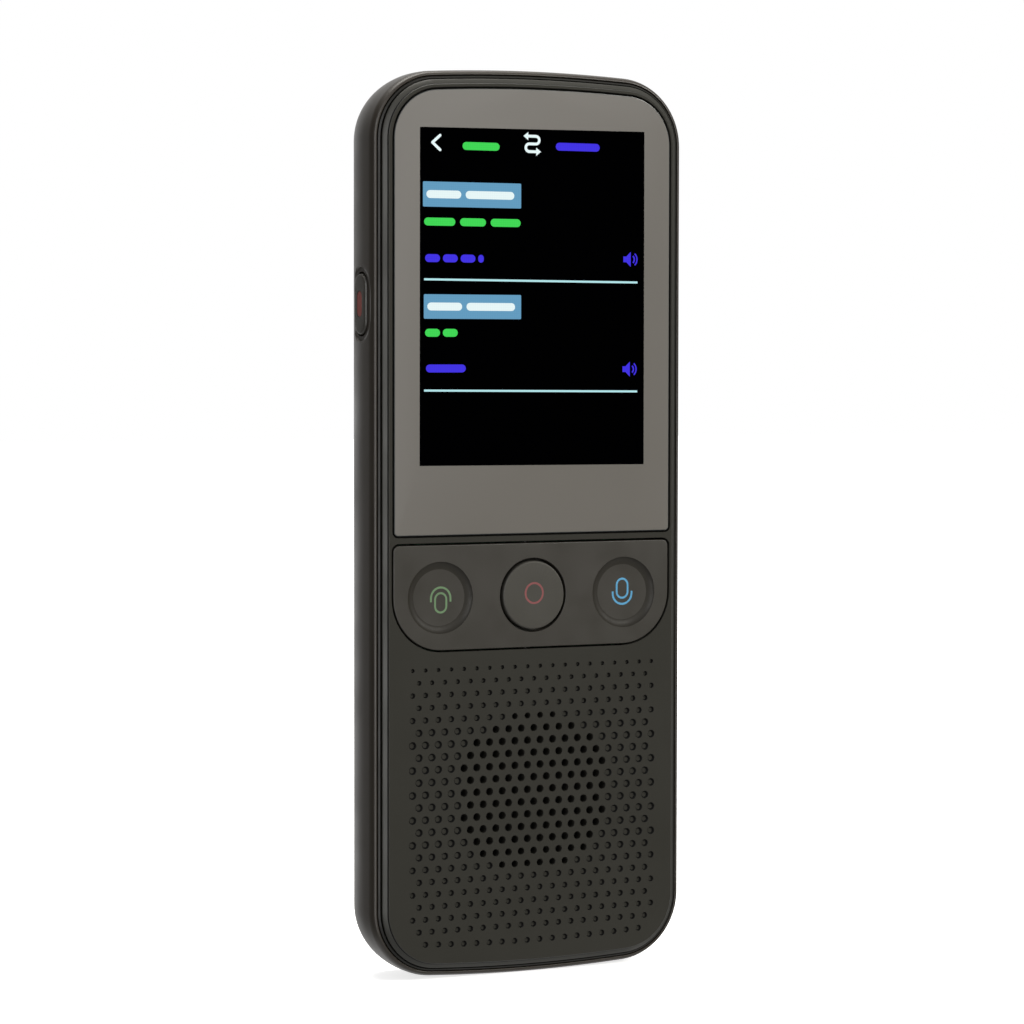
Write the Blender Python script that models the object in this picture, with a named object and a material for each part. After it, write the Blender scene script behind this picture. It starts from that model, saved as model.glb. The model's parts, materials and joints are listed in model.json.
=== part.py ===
"""A handheld translator: a pocket bar with a colour screen, a rocking key plate with a round button in
its middle, a graded speaker grille and a side button. Metres, +Z up, the front face towards -Y.

Depths are counted from the front face towards the back, and heights from the lowest point of the body.
The front face's edge is the outline that every shell follows, and a "reach" is how far outside that edge
a thing stands."""

import math

import bmesh
import bpy
from mathutils import Matrix, Vector

# Overall form. The width and the height follow from what the front carries
THICKNESS = 0.0125
SWELL = 0.00195  # how far the rear housing stands outside the front face's edge
FACE_CORNER = 0.00805  # corner radius of the front face
END_BOW = 0.26  # radius of the bowed top and bottom edges

# Seams and running clearances
SEAM = 0.00022  # gap round the glass
KEY_SEAM = 0.00025  # gap round the key plate, its button and the side button
TRIM_SEAM = 0.00016  # gap on each side of the trim ring
FIT = 0.00025  # gap between fixed pieces inside the body
TAPE_FIT = 0.00005  # gap at each face of a taped joint
OVERRUN = 0.0004  # how far a cutter runs past the face it cuts

# Front housing
FACE_WALL = 0.0018
FACE_STEP = 0.0002  # square step at the face's edge, before the bevel
BEVEL_REACH = 0.0006
BEVEL_DEPTH = 0.0004
LIP_DEPTH = 0.00025
SKIRT_REACH = 0.0002
SKIRT_WALL = 0.0011
SKIRT_DEPTH = 0.0026  # depth of the skirt's free edge

# Trim ring between the housings
TRIM_STRIP = 0.0003  # width of the strip that shows
TRIM_SLOPE = 0.00014  # how far the strip falls back across its width
TRIM_HEIGHT = 0.0009

# Rear housing
BACK_WALL = 0.0014
SIDE_WALL = 0.0015
RIM_ROUND_DEPTH = 0.00138  # depth of the rounding on the side wall's front edge
SIDE_STRAIGHT = 0.0012  # straight stretch of the side wall
BACK_ROUND_REACH = 0.0036  # how far the rounding runs in over the back
BACK_ROUND_INNER = 0.0024

# Cover glass and display
GLASS_RIM = 0.00085  # from the face's edge to the glass
GLASS_THICK = 0.0011
GLASS_BEVEL = 0.00012
GLASS_CORNER = 0.0006  # lower corners
TAPE_THICK = 0.00015
PICTURE_WIDE = 0.03672  # active area of the display
PICTURE_HIGH = 0.04896
SIDE_BORDER = 0.00509  # from the picture to the face's edge at each side
TOP_BORDER = 0.00671  # from the picture to the face's top edge
FOOT_BORDER = 0.00984  # from the picture down to the glass's lower edge
PICTURE_SIDE = 0.0025  # border of the display module beside the picture
PICTURE_TOP = 0.0015
PICTURE_FOOT = 0.008
LCD_THICK = 0.0013
BACKLIGHT_THICK = 0.0009
LCD_CORNER = 0.0004
BRACKET_THICK = 0.0004
BRACKET_SHORT = 0.0011  # how much shorter the bracket is than the module at each end
BRACKET_BAR = 0.00565  # width of the bars across it
BRACKET_SIDE = 0.00586  # and of its sides

# Keys
KEY_RIM = 0.00085  # from the face's edge to the key plate
DIVIDER = 0.00155  # from the glass's lower edge to the key plate's upper edge
KEY_MARGIN = 0.00225  # from the button's hole to the plate's upper and lower edges
KEY_TOP_CORNER = 0.0009
KEY_LOW_CORNER = 0.0077
KEY_WALL = 0.0016
KEY_EDGE = 0.00012  # rounding of the plate's front edge
DISH_FROM_END = 0.0075  # from the plate's end to the middle of the dish
DISH_RADIUS = 0.0053
DISH_FLOOR_RADIUS = 0.0045
DISH_DEPTH = 0.00038
NUB_RADIUS = 0.0015
NUB_LONG = 0.0004
SLEEVE_WALL = 0.0008
SLEEVE_LONG = 0.0004
PIVOT_RADIUS = 0.0005
PIVOT_LONG = 0.0009  # how far each stub pin stands past the plate's edge
CRADLE_WALL = 0.0006
BUTTON_RADIUS = 0.00515
BUTTON_PROUD = 0.00025
BUTTON_EDGE = 0.0003
BUTTON_CAP = 0.0014
BUTTON_FLANGE = 0.0004
BUTTON_TRAVEL = 0.0004
STEM_RADIUS = 0.0026
KEYPAD_WALL = 0.0008
KEYPAD_SHEET = 0.0005
KEYPAD_MARGIN = 0.0003  # how much the keypad is smaller than the plate above and below
KEYPAD_CORNER = 0.001
PAD_RADIUS = 0.002
SWITCH_WIDE = 0.004
SWITCH_DEEP = 0.0011
SWITCH_TRAVEL_ROOM = 0.0003

# Boards
COMPONENT_ROOM = 0.0013  # between the bracket and the main board
BOARD_THICK = 0.001
BOARD_MARGIN = 0.002  # from the face's edge to the main board
BOARD_ABOVE_COLLAR = 0.0009  # from the speaker's collar to the main board
KEYS_ABOVE_BOARD = 0.005672  # from the main board's lower edge to the key plate's
BOARD_CORNER = 0.001
CAN_WIDE = 0.018
CAN_WALL = 0.0002
CAN_DEEP = 0.00105
CHIP_WIDE = 0.012
CHIP_THICK = 0.0007
MEMORY_WIDE = 0.0115
MEMORY_HIGH = 0.008
CONNECTOR_WIDE = 0.018
CONNECTOR_HIGH = 0.0035
CONNECTOR_THICK = 0.0009
FLEX_THICK = 0.00015
DISPLAY_FLEX_WIDE = 0.014
SUB_WIDE = 0.027
SUB_FLOOR = 0.0046
SUB_HIGH = 0.008
SUB_GAP = 0.001068  # from the sub board to the speaker
LINK_WIDE = 0.004
LINK_CLEAR = 0.0008  # from the speaker's magnet to the link
LINK_LAP = 0.0016  # how far the link lies over each board

# Screws and bosses
BOSS_RADIUS = 0.0017
BOSS_IN = 0.00285  # from the main board's side edge to the bosses
BOSS_BELOW_TOP = 0.00655  # from the face's top edge to the upper bosses
BOSS_ABOVE_FLOOR = 0.0033  # from the main board's lower edge to the lower bosses
SUB_BOSS_IN = 0.0023  # from the sub board's side edge to its bosses
SUB_BOSS_UP = 0.0022
SCREW_RADIUS = 0.0006
SCREW_HEAD_RADIUS = 0.0014
SCREW_HEAD = 0.0007
SCREW_BITE = 0.0026  # how deep the screw goes into its boss
SOCKET_RADIUS = 0.0008

# Battery
BATTERY_SIDE = 0.00645  # from the face's edge to the battery
BATTERY_ABOVE = 0.0255  # from the main board's lower edge to the battery
BATTERY_BELOW_TOP = 0.01255  # from the face's top edge to the battery
BATTERY_CORNER = 0.0015
BATTERY_EDGE = 0.0006
PAD_THICK = 0.0002
PAD_INSET = 0.004
CRADLE_RIB = 0.0006
CRADLE_RIB_TALL = 0.0018
CRADLE_RIB_SHORT = 0.002
PLUG_WIDE = 0.005
PLUG_HIGH = 0.004
PLUG_THICK = 0.002
PLUG_ASIDE = 0.010
LEAD_RADIUS = 0.0005

# Side button on the left wall
SIDE_BELOW_TOP = 0.03221  # from the face's top edge to the button's middle
SIDE_BACK_OF_MIDDLE = -0.00015  # from the body's mid thickness to the button's centre line
SIDE_LONG = 0.0089
SIDE_WIDE = 0.0039
SIDE_SUNK = 0.00018  # how far the cap's face lies inside the wall's widest line
SIDE_EDGE = 0.0004
SIDE_FLANGE = 0.0005
SIDE_FLANGE_SIDE = 0.0003  # how far the flange stands past the cap in depth
SIDE_FLANGE_END = 0.0009  # and at each end
SIDE_TRAVEL = 0.0003
SCOOP_END = 0.0011  # how far the scoop's mouth runs past each end of the cap
SCOOP_EDGE = 0.00065  # from the wall's front edge to the scoop's mouth
SCOOP_FLOOR_REACH = 0.0006  # how far the scoop's floor runs round the cap's hole
SCOOP_DEPTH = 0.00055
INLAY_LONG = 0.0038
INLAY_WIDE = 0.0017
INLAY_DEPTH = 0.0003
SIDE_SWITCH_LONG = 0.0035
SIDE_SWITCH_WIDE = 0.0016
SIDE_SWITCH_DEEP = 0.0026

# Speaker and its grille
GRILLE_COLUMN = 0.002074
GRILLE_SIDE = 0.0036  # least distance from the face's side edge to a hole's centre
GRILLE_HEAD = 0.00271  # from the key plate down to the first row
GRILLE_FOOT = 0.003622  # from the last row down to the face's bottom edge
HOLE_RADIUS = 0.000575
HOLE_SIDES = 6
DIMPLE_SIDES = 5
HOLE_ROW_SHARES = (
    (0.52, 0.61, 0.70, 0.72, 0.80, 0.95) + (1.0,) * 9 + (0.93, 0.88, 0.83) + (0.77,) * 5
)
OPEN_INSET = 0.0012  # holes whose centres lie this far inside the speaker's edge are open
DIMPLE_DEPTH = 0.0006
LAST_ROW_LIFT = 0.0003  # how far the ends of the last row bend up with the corners
SPEAKER_RADIUS = 0.0134
GASKET_WALL = 0.0008
GASKET_THICK = 0.0006
MESH_THICK = 0.0002
COLLAR_WALL = 0.0009
COLLAR_DEEP = 0.0046
BASKET_RIM = 0.0012
BASKET_DEEP = 0.0029
BASKET_WALL = 0.0006
MAGNET_RADIUS = 0.0076
MAGNET_DEEP = 0.003
MAGNET_EDGE = 0.0004
CONE_THICK = 0.00025
CONE_ROLL = 0.0005
FOAM_RADIUS = 0.006

# Charging port at the bottom
PORT_WIDE = 0.00894
PORT_HIGH = 0.00326
PORT_LONG = 0.0074
PORT_WALL = 0.0003
PORT_SUNK = 0.0005  # how far the mouth lies above the lowest point of the body
PORT_FIT = 0.00027
TONGUE_WIDE = 0.0067
TONGUE_THICK = 0.0007
TONGUE_SUNK = 0.0008

# Microphones
MIC_RADIUS = 0.0015
MIC_LONG = 0.001
BOOT_WALL = 0.0004
BOOT_FLOOR = 0.0005
MIC_HOLE = 0.0005
BOTTOM_MIC_ASIDE = 0.009
TOP_MIC_ASIDE = -0.008

# Antenna
ANTENNA_INSET = 0.003  # how much narrower than the battery it is at each side
ANTENNA_HIGH = 0.008

# Fineness of the round forms
CORNER_STEPS = 6
BOW_STEPS = 4
BACK_STEPS = 6
INNER_STEPS = 4
ROUND_SIDES = 32
INNER_SIDES = 20
SMALL_SIDES = 10
SCREW_SIDES = 8
SMOOTH_ANGLE = math.radians(35)

# Worked out from the sizes above
MIDDLE = (THICKNESS - BUTTON_PROUD) / 2  # depth that lies at Y zero
FACE_HALF = PICTURE_WIDE / 2 + SIDE_BORDER
WIDTH = 2 * (FACE_HALF + SWELL)
BUTTON_HOLE = BUTTON_RADIUS + KEY_SEAM
SUB_TOP = SUB_FLOOR + SUB_HIGH
SPEAKER_HEIGHT = SUB_TOP + SUB_GAP + SPEAKER_RADIUS
BOARD_FLOOR = SPEAKER_HEIGHT + SPEAKER_RADIUS + FIT + COLLAR_WALL + BOARD_ABOVE_COLLAR
KEY_BOTTOM = BOARD_FLOOR + KEYS_ABOVE_BOARD
GRILLE_TOP = KEY_BOTTOM - GRILLE_HEAD
GRILLE_ROWS = len(HOLE_ROW_SHARES)
GRILLE_ROW = (GRILLE_TOP - GRILLE_FOOT - SWELL) / (GRILLE_ROWS - 1)
KEY_HIGH = 2 * (BUTTON_HOLE + KEY_MARGIN)
KEY_TOP = KEY_BOTTOM + KEY_HIGH
KEY_MIDDLE = KEY_BOTTOM + KEY_HIGH / 2
GLASS_FLOOR = KEY_TOP + DIVIDER
PICTURE_HEIGHT = GLASS_FLOOR + FOOT_BORDER + PICTURE_HIGH / 2
FACE_TOP = PICTURE_HEIGHT + PICTURE_HIGH / 2 + TOP_BORDER
HEIGHT = FACE_TOP + SWELL
DISH_SPREAD = FACE_HALF - KEY_RIM - DISH_FROM_END
GRILLE_WIDE_COUNT = int(2 * (FACE_HALF - GRILLE_SIDE) / GRILLE_COLUMN) + 1
OPEN_RADIUS = SPEAKER_RADIUS - OPEN_INSET
PORT_DEPTH = THICKNESS / 2
SIDE_DEPTH = THICKNESS / 2 + SIDE_BACK_OF_MIDDLE
SIDE_HEIGHT = FACE_TOP - SIDE_BELOW_TOP

BEVEL_BACK = FACE_STEP + BEVEL_DEPTH
LIP_BACK = BEVEL_BACK + LIP_DEPTH
TRIM_IN = BEVEL_REACH + TRIM_SEAM
TRIM_OUT = TRIM_IN + TRIM_STRIP
TRIM_BACK = LIP_BACK + TRIM_SEAM + TRIM_HEIGHT
RIM_IN = TRIM_OUT + TRIM_SEAM
RIM_FRONT = LIP_BACK + TRIM_SEAM + TRIM_SLOPE
SHELF_DEPTH = TRIM_BACK + TRIM_SEAM
WALL_IN = SWELL - SIDE_WALL
ROUND_START = RIM_FRONT + RIM_ROUND_DEPTH + SIDE_STRAIGHT
BACK_INNER = THICKNESS - BACK_WALL

TAPE_FRONT = GLASS_THICK + TAPE_FIT
POCKET_FLOOR = TAPE_FRONT + TAPE_THICK + TAPE_FIT
LCD_FRONT = GLASS_THICK + TAPE_FIT
LCD_BACK = LCD_FRONT + LCD_THICK
BACKLIGHT_FRONT = LCD_BACK + TAPE_FIT
BACKLIGHT_BACK = BACKLIGHT_FRONT + BACKLIGHT_THICK
BRACKET_FRONT = BACKLIGHT_BACK + FIT
BRACKET_BACK = BRACKET_FRONT + BRACKET_THICK
BOARD_FRONT = BRACKET_BACK + COMPONENT_ROOM
BOARD_BACK = BOARD_FRONT + BOARD_THICK
BOARD_HALF = FACE_HALF - BOARD_MARGIN
LINK_ASIDE = MAGNET_RADIUS + LINK_CLEAR + LINK_WIDE / 2
BATTERY_WIDE = 2 * (FACE_HALF - BATTERY_SIDE)
BATTERY_FLOOR = BOARD_FLOOR + BATTERY_ABOVE
BATTERY_TOP = FACE_TOP - BATTERY_BELOW_TOP
BATTERY_HIGH = BATTERY_TOP - BATTERY_FLOOR
BATTERY_MIDDLE = (BATTERY_TOP + BATTERY_FLOOR) / 2
LCD_HALF = PICTURE_WIDE / 2 + PICTURE_SIDE
LCD_TOP = PICTURE_HEIGHT + PICTURE_HIGH / 2 + PICTURE_TOP
LCD_FLOOR = PICTURE_HEIGHT - PICTURE_HIGH / 2 - PICTURE_FOOT

PIVOT_DEPTH = FACE_WALL + TAPE_FIT + FIT / 2 + PIVOT_RADIUS
SLEEVE_BACK = KEY_WALL + SLEEVE_LONG
FLANGE_FRONT = SLEEVE_BACK + TAPE_FIT
FLANGE_BACK = FLANGE_FRONT + BUTTON_FLANGE
KEYPAD_FRONT = FLANGE_BACK + BUTTON_TRAVEL + FIT
KEYPAD_BACK = BOARD_FRONT - TAPE_FIT
SWITCH_FRONT = BOARD_FRONT - TAPE_FIT - SWITCH_DEEP
BATTERY_FRONT = BOARD_BACK + FIT
BATTERY_BACK = BACK_INNER - PAD_THICK - 2 * TAPE_FIT

BOSSES = tuple(
    (side * (BOARD_HALF - BOSS_IN), height)
    for height in (FACE_TOP - BOSS_BELOW_TOP, BOARD_FLOOR + BOSS_ABOVE_FLOOR)
    for side in (-1, 1)
)
SUB_BOSSES = tuple(
    (side * (SUB_WIDE / 2 - SUB_BOSS_IN), SUB_FLOOR + SUB_BOSS_UP) for side in (-1, 1)
)


# Placing points


def from_front(across, up, deep):
    """An outline drawn on the front face and run towards the back."""
    return Vector((across, deep - MIDDLE, up))


def from_left(deep, up, across):
    """An outline drawn on the left wall and run towards the right."""
    return Vector((across, deep - MIDDLE, up))


def from_below(across, deep, up):
    """An outline drawn on the bottom end and run upwards."""
    return Vector((across, deep - MIDDLE, up))


# Outlines


def arc(centre, radius, start, stop, steps):
    """Points on a circle between two angles in degrees, both ends included."""
    angles = (math.radians(start + (stop - start) * i / steps) for i in range(steps + 1))
    return [(centre[0] + radius * math.cos(a), centre[1] + radius * math.sin(a)) for a in angles]


def circle(centre, radius, sides=ROUND_SIDES):
    """A round outline of equal sides."""
    return arc(centre, radius, 0, 360, sides)[:-1]


def four_corners(left, right, low, high, radii, steps=CORNER_STEPS):
    """A rectangle with rounded corners, from the upper right one round to the left."""
    upper_right, upper_left, lower_left, lower_right = radii
    return (
        arc((right - upper_right, high - upper_right), upper_right, 0, 90, steps)
        + arc((left + upper_left, high - upper_left), upper_left, 90, 180, steps)
        + arc((left + lower_left, low + lower_left), lower_left, 180, 270, steps)
        + arc((right - lower_right, low + lower_right), lower_right, 270, 360, steps)
    )


def block(centre, wide, high, corner, steps=2):
    """A centred rectangle with equal rounded corners."""
    x, y = centre
    return four_corners(x - wide / 2, x + wide / 2, y - high / 2, y + high / 2, (corner,) * 4, steps)


def square(centre, wide, high):
    """A centred rectangle with sharp corners."""
    x, y = centre
    return [(x + i * wide / 2, y + j * high / 2) for i, j in ((1, 1), (-1, 1), (-1, -1), (1, -1))]


def pill(centre, wide, high, steps=CORNER_STEPS):
    """A slot with round ends, along whichever side is longer."""
    radius = min(wide, high) / 2
    x, y = centre
    along = (high / 2 - radius) if high > wide else (wide / 2 - radius)
    if high > wide:
        return arc((x, y + along), radius, 0, 180, steps) + arc((x, y - along), radius, 180, 360, steps)
    return arc((x + along, y), radius, -90, 90, steps) + arc((x - along, y), radius, 90, 270, steps)


def crown(reach):
    """The bowed top edge and its two corners, from right to left."""
    corner = FACE_CORNER + reach
    bow = END_BOW + reach
    aside = FACE_HALF - FACE_CORNER
    low = FACE_TOP + reach - bow
    corner_height = low + math.sqrt((bow - corner) ** 2 - aside**2)
    lean = math.degrees(math.asin(aside / (bow - corner)))
    return (
        arc((aside, corner_height), corner, 0, 90 - lean, CORNER_STEPS)
        + arc((0, low), bow, 90 - lean, 90 + lean, BOW_STEPS)[1:-1]
        + arc((-aside, corner_height), corner, 90 + lean, 180, CORNER_STEPS)
    )


def body_outline(reach):
    """The outline of the front face, moved outwards by a reach."""
    top = crown(reach)
    return top + [(-x, HEIGHT - z) for x, z in top]


def cut_outline(reach, floor, corner):
    """The upper part of the body's outline, closed by a level edge."""
    half = FACE_HALF + reach
    return (
        crown(reach)
        + arc((corner - half, floor + corner), corner, 180, 270, 3)
        + arc((half - corner, floor + corner), corner, 270, 360, 3)
    )


def key_outline(reach):
    """The key plate's outline, moved outwards by a reach."""
    half = FACE_HALF - KEY_RIM + reach
    top = KEY_TOP_CORNER + reach
    low = KEY_LOW_CORNER + reach
    return four_corners(-half, half, KEY_BOTTOM - reach, KEY_TOP + reach, (top, top, low, low))


def end_rise(across):
    """How far the bowed ends draw in at a distance from the middle."""
    return END_BOW - math.sqrt(END_BOW**2 - across**2)


def mic_wall(across):
    """How far from an end of the body a microphone's boot meets the inner wall."""
    outer = MIC_RADIUS + TAPE_FIT + BOOT_WALL
    return SWELL - wall_reach(BOARD_BACK + outer) + end_rise(abs(across) + outer)


# Solids


def skin(mesh, rings, closed=False):
    """Joins equal rings of points with faces, and caps the ends or joins the last ring to the first."""
    rows = [[mesh.verts.new(point) for point in ring] for ring in rings]
    pairs = list(zip(rows, rows[1:]))
    if closed:
        pairs.append((rows[-1], rows[0]))
    else:
        mesh.faces.new(rows[0])
        mesh.faces.new(reversed(rows[-1]))
    for near, far in pairs:
        for i in range(len(near)):
            j = (i + 1) % len(near)
            mesh.faces.new((near[i], near[j], far[j], far[i]))


def prism(mesh, outline, near, far, place=from_front):
    """An outline run from one level to another."""
    skin(mesh, [[place(u, v, level) for u, v in outline] for level in (near, far)])


def stack(mesh, levels, place=from_front, closed=False):
    """Outlines of equal count, each at its own level."""
    skin(mesh, [[place(u, v, level) for u, v in outline] for outline, level in levels], closed)


def turned(mesh, centre, profile, sides=ROUND_SIDES, place=from_front, closed=False):
    """A profile of radius and level, turned about an axis through a centre."""
    stack(mesh, [(circle(centre, radius, sides), level) for radius, level in profile], place, closed)


def spike(mesh, centre, radius, near, tip, sides):
    """A cone that points towards the back."""
    base = [mesh.verts.new(from_front(u, v, near)) for u, v in circle(centre, radius, sides)]
    point = mesh.verts.new(from_front(centre[0], centre[1], tip))
    mesh.faces.new(base)
    for i in range(sides):
        mesh.faces.new((base[i], point, base[(i + 1) % sides]))


def body(name, mesh, finish=None):
    """Turns a bmesh into a named object with its faces out. Without a finish it only cuts or joins."""
    bmesh.ops.recalc_face_normals(mesh, faces=mesh.faces)
    data = bpy.data.meshes.new(name)
    mesh.to_mesh(data)
    mesh.free()
    item = bpy.data.objects.new(name, data)
    bpy.context.scene.collection.objects.link(item)
    if finish:
        data.materials.append(finish)
        data.shade_smooth()
        data.set_sharp_from_angle(angle=SMOOTH_ANGLE)
    else:
        item.hide_render = True
        item.display_type = "WIRE"
    return item


def combine(target, helper, operation):
    """Cuts a helper from an object, or joins it to the object."""
    modifier = target.modifiers.new(helper.name, "BOOLEAN")
    modifier.operation = operation
    modifier.solver = "EXACT"
    modifier.object = helper
    helper.parent = target


def cut(target, name, mesh):
    """Cuts the shapes in a bmesh from an object."""
    combine(target, body(target.name + "_" + name, mesh), "DIFFERENCE")


def join(target, name, mesh):
    """Joins the shapes in a bmesh to an object."""
    combine(target, body(target.name + "_" + name, mesh), "UNION")


def simple(name, finish, outline, near, far, place=from_front):
    """A piece that is one outline run from one level to another."""
    mesh = bmesh.new()
    prism(mesh, outline, near, far, place)
    return body(name, mesh, finish)


def round_piece(name, finish, centre, profile, sides=ROUND_SIDES, place=from_front, closed=False):
    """A piece that is one turned profile."""
    mesh = bmesh.new()
    turned(mesh, centre, profile, sides, place, closed)
    return body(name, mesh, finish)


def finish(name, colour, roughness, metallic=0.0, alpha=1.0):
    """A plain material with a linear colour."""
    material = bpy.data.materials.new(name)
    material.use_nodes = True
    shader = material.node_tree.nodes["Principled BSDF"]
    shader.inputs["Base Color"].default_value = (*colour, 1.0)
    shader.inputs["Roughness"].default_value = roughness
    shader.inputs["Metallic"].default_value = metallic
    shader.inputs["Alpha"].default_value = alpha
    material.diffuse_color = (*colour, 1.0)
    return material


# Shells


def grille_holes():
    """Centre, radius and openness of every hole, row by row from the top."""
    speaker = Vector((0, SPEAKER_HEIGHT))
    for row in range(GRILLE_ROWS):
        count = GRILLE_WIDE_COUNT - row % 2
        height = GRILLE_TOP - row * GRILLE_ROW
        radius = HOLE_RADIUS * HOLE_ROW_SHARES[row]
        columns = range(count)
        lift = 0
        if row == GRILLE_ROWS - 1:
            columns = columns[1:-1]
            lift = LAST_ROW_LIFT
        for column in columns:
            share = 2 * column / (count - 1) - 1
            across = share * (count - 1) / 2 * GRILLE_COLUMN
            centre = Vector((across, height + lift * share**4))
            yield centre, radius, (centre - speaker).length < OPEN_RADIUS


def front_housing(plastic):
    """The face with its bevelled edge and skirt, the glass pocket, the key window and the grille."""
    outer = (
        (0, 0),
        (0, FACE_STEP),
        (BEVEL_REACH, BEVEL_BACK),
        (BEVEL_REACH, LIP_BACK),
        (SKIRT_REACH, LIP_BACK),
        (SKIRT_REACH, SKIRT_DEPTH),
        (SKIRT_REACH - SKIRT_WALL, SKIRT_DEPTH),
        (SKIRT_REACH - SKIRT_WALL, FACE_WALL),
    )
    mesh = bmesh.new()
    stack(mesh, [(body_outline(reach), depth) for reach, depth in outer])
    housing = body("front_housing", mesh, plastic)

    mesh = bmesh.new()
    collar_in = SPEAKER_RADIUS + FIT
    collar_out = collar_in + COLLAR_WALL
    collar = (
        (collar_in, FACE_WALL - OVERRUN),
        (collar_out, FACE_WALL - OVERRUN),
        (collar_out, COLLAR_DEEP),
        (collar_in, COLLAR_DEEP),
    )
    turned(mesh, (0, SPEAKER_HEIGHT), collar, closed=True)
    for edge, way in ((KEY_TOP, 1), (KEY_BOTTOM, -1)):
        near = edge + way * 2 * KEY_SEAM
        far = edge + way * (PIVOT_LONG + KEY_SEAM)
        for side in (-1, 1):
            across = side * (PIVOT_RADIUS + KEY_SEAM + CRADLE_WALL / 2)
            outline = square((across, (near + far) / 2), CRADLE_WALL, abs(far - near))
            prism(mesh, outline, FACE_WALL - OVERRUN, PIVOT_DEPTH + PIVOT_RADIUS)
    join(housing, "ribs", mesh)

    mesh = bmesh.new()
    pocket = cut_outline(SEAM - GLASS_RIM, GLASS_FLOOR - SEAM, GLASS_CORNER + SEAM)
    prism(mesh, pocket, -OVERRUN, POCKET_FLOOR)
    prism(mesh, key_outline(KEY_SEAM), -OVERRUN, SKIRT_DEPTH + OVERRUN)
    for centre, radius, is_open in grille_holes():
        if is_open:
            prism(mesh, circle(centre, radius, HOLE_SIDES), -OVERRUN, FACE_WALL + OVERRUN)
        else:
            mouth = radius * (OVERRUN + DIMPLE_DEPTH) / DIMPLE_DEPTH
            spike(mesh, centre, mouth, -OVERRUN, DIMPLE_DEPTH, DIMPLE_SIDES)
    cut(housing, "openings", mesh)

    mesh = bmesh.new()
    window = lcd_outline(FIT)
    prism(mesh, window, OVERRUN, FACE_WALL + OVERRUN)
    cut(housing, "display_window", mesh)
    return housing


def trim_ring(metal):
    """The thin ring that shows as a strip between the two housings."""
    section = (
        (SKIRT_REACH + FIT, LIP_BACK + TRIM_SEAM),
        (TRIM_IN, LIP_BACK + TRIM_SEAM),
        (TRIM_OUT, LIP_BACK + TRIM_SEAM + TRIM_SLOPE),
        (TRIM_OUT, TRIM_BACK),
        (SKIRT_REACH + FIT, TRIM_BACK),
    )
    mesh = bmesh.new()
    stack(mesh, [(body_outline(reach), depth) for reach, depth in section], closed=True)
    return body("trim_ring", mesh, metal)


def rear_sections():
    """Reach and depth of the rear housing's wall, round its rim, over its back and up its inside."""
    rim_round = SWELL - RIM_IN - TRIM_SEAM / 2
    rim_centre = SWELL - rim_round
    yield WALL_IN, SHELF_DEPTH
    yield RIM_IN, SHELF_DEPTH
    yield RIM_IN, RIM_FRONT + TRIM_SEAM
    for i in range(4):
        turn = math.radians(30 * i)
        yield rim_centre + rim_round * math.sin(turn), RIM_FRONT + RIM_ROUND_DEPTH * (1 - math.cos(turn))
    for i in range(BACK_STEPS + 1):
        turn = math.radians(90 * i / BACK_STEPS)
        reach = SWELL - BACK_ROUND_REACH * (1 - math.cos(turn))
        yield reach, ROUND_START + (THICKNESS - ROUND_START) * math.sin(turn)


def rear_cavity():
    """Reach and depth of the rear housing's inside, from the opening to its floor."""
    yield WALL_IN, SHELF_DEPTH
    for i in range(INNER_STEPS + 1):
        turn = math.radians(90 * i / INNER_STEPS)
        reach = WALL_IN - BACK_ROUND_INNER * (1 - math.cos(turn))
        yield reach, ROUND_START + (BACK_INNER - ROUND_START) * math.sin(turn)


def wall_reach(depth):
    """Reach of the inner wall at a depth, on the safe side of its facets."""
    rows = list(rear_cavity())
    for (near, start), (far, stop) in zip(rows[1:], rows[2:]):
        if depth <= stop:
            share = max(0, (depth - start) / (stop - start))
            return near + (far - near) * share
    return rows[-1][0]


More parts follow.
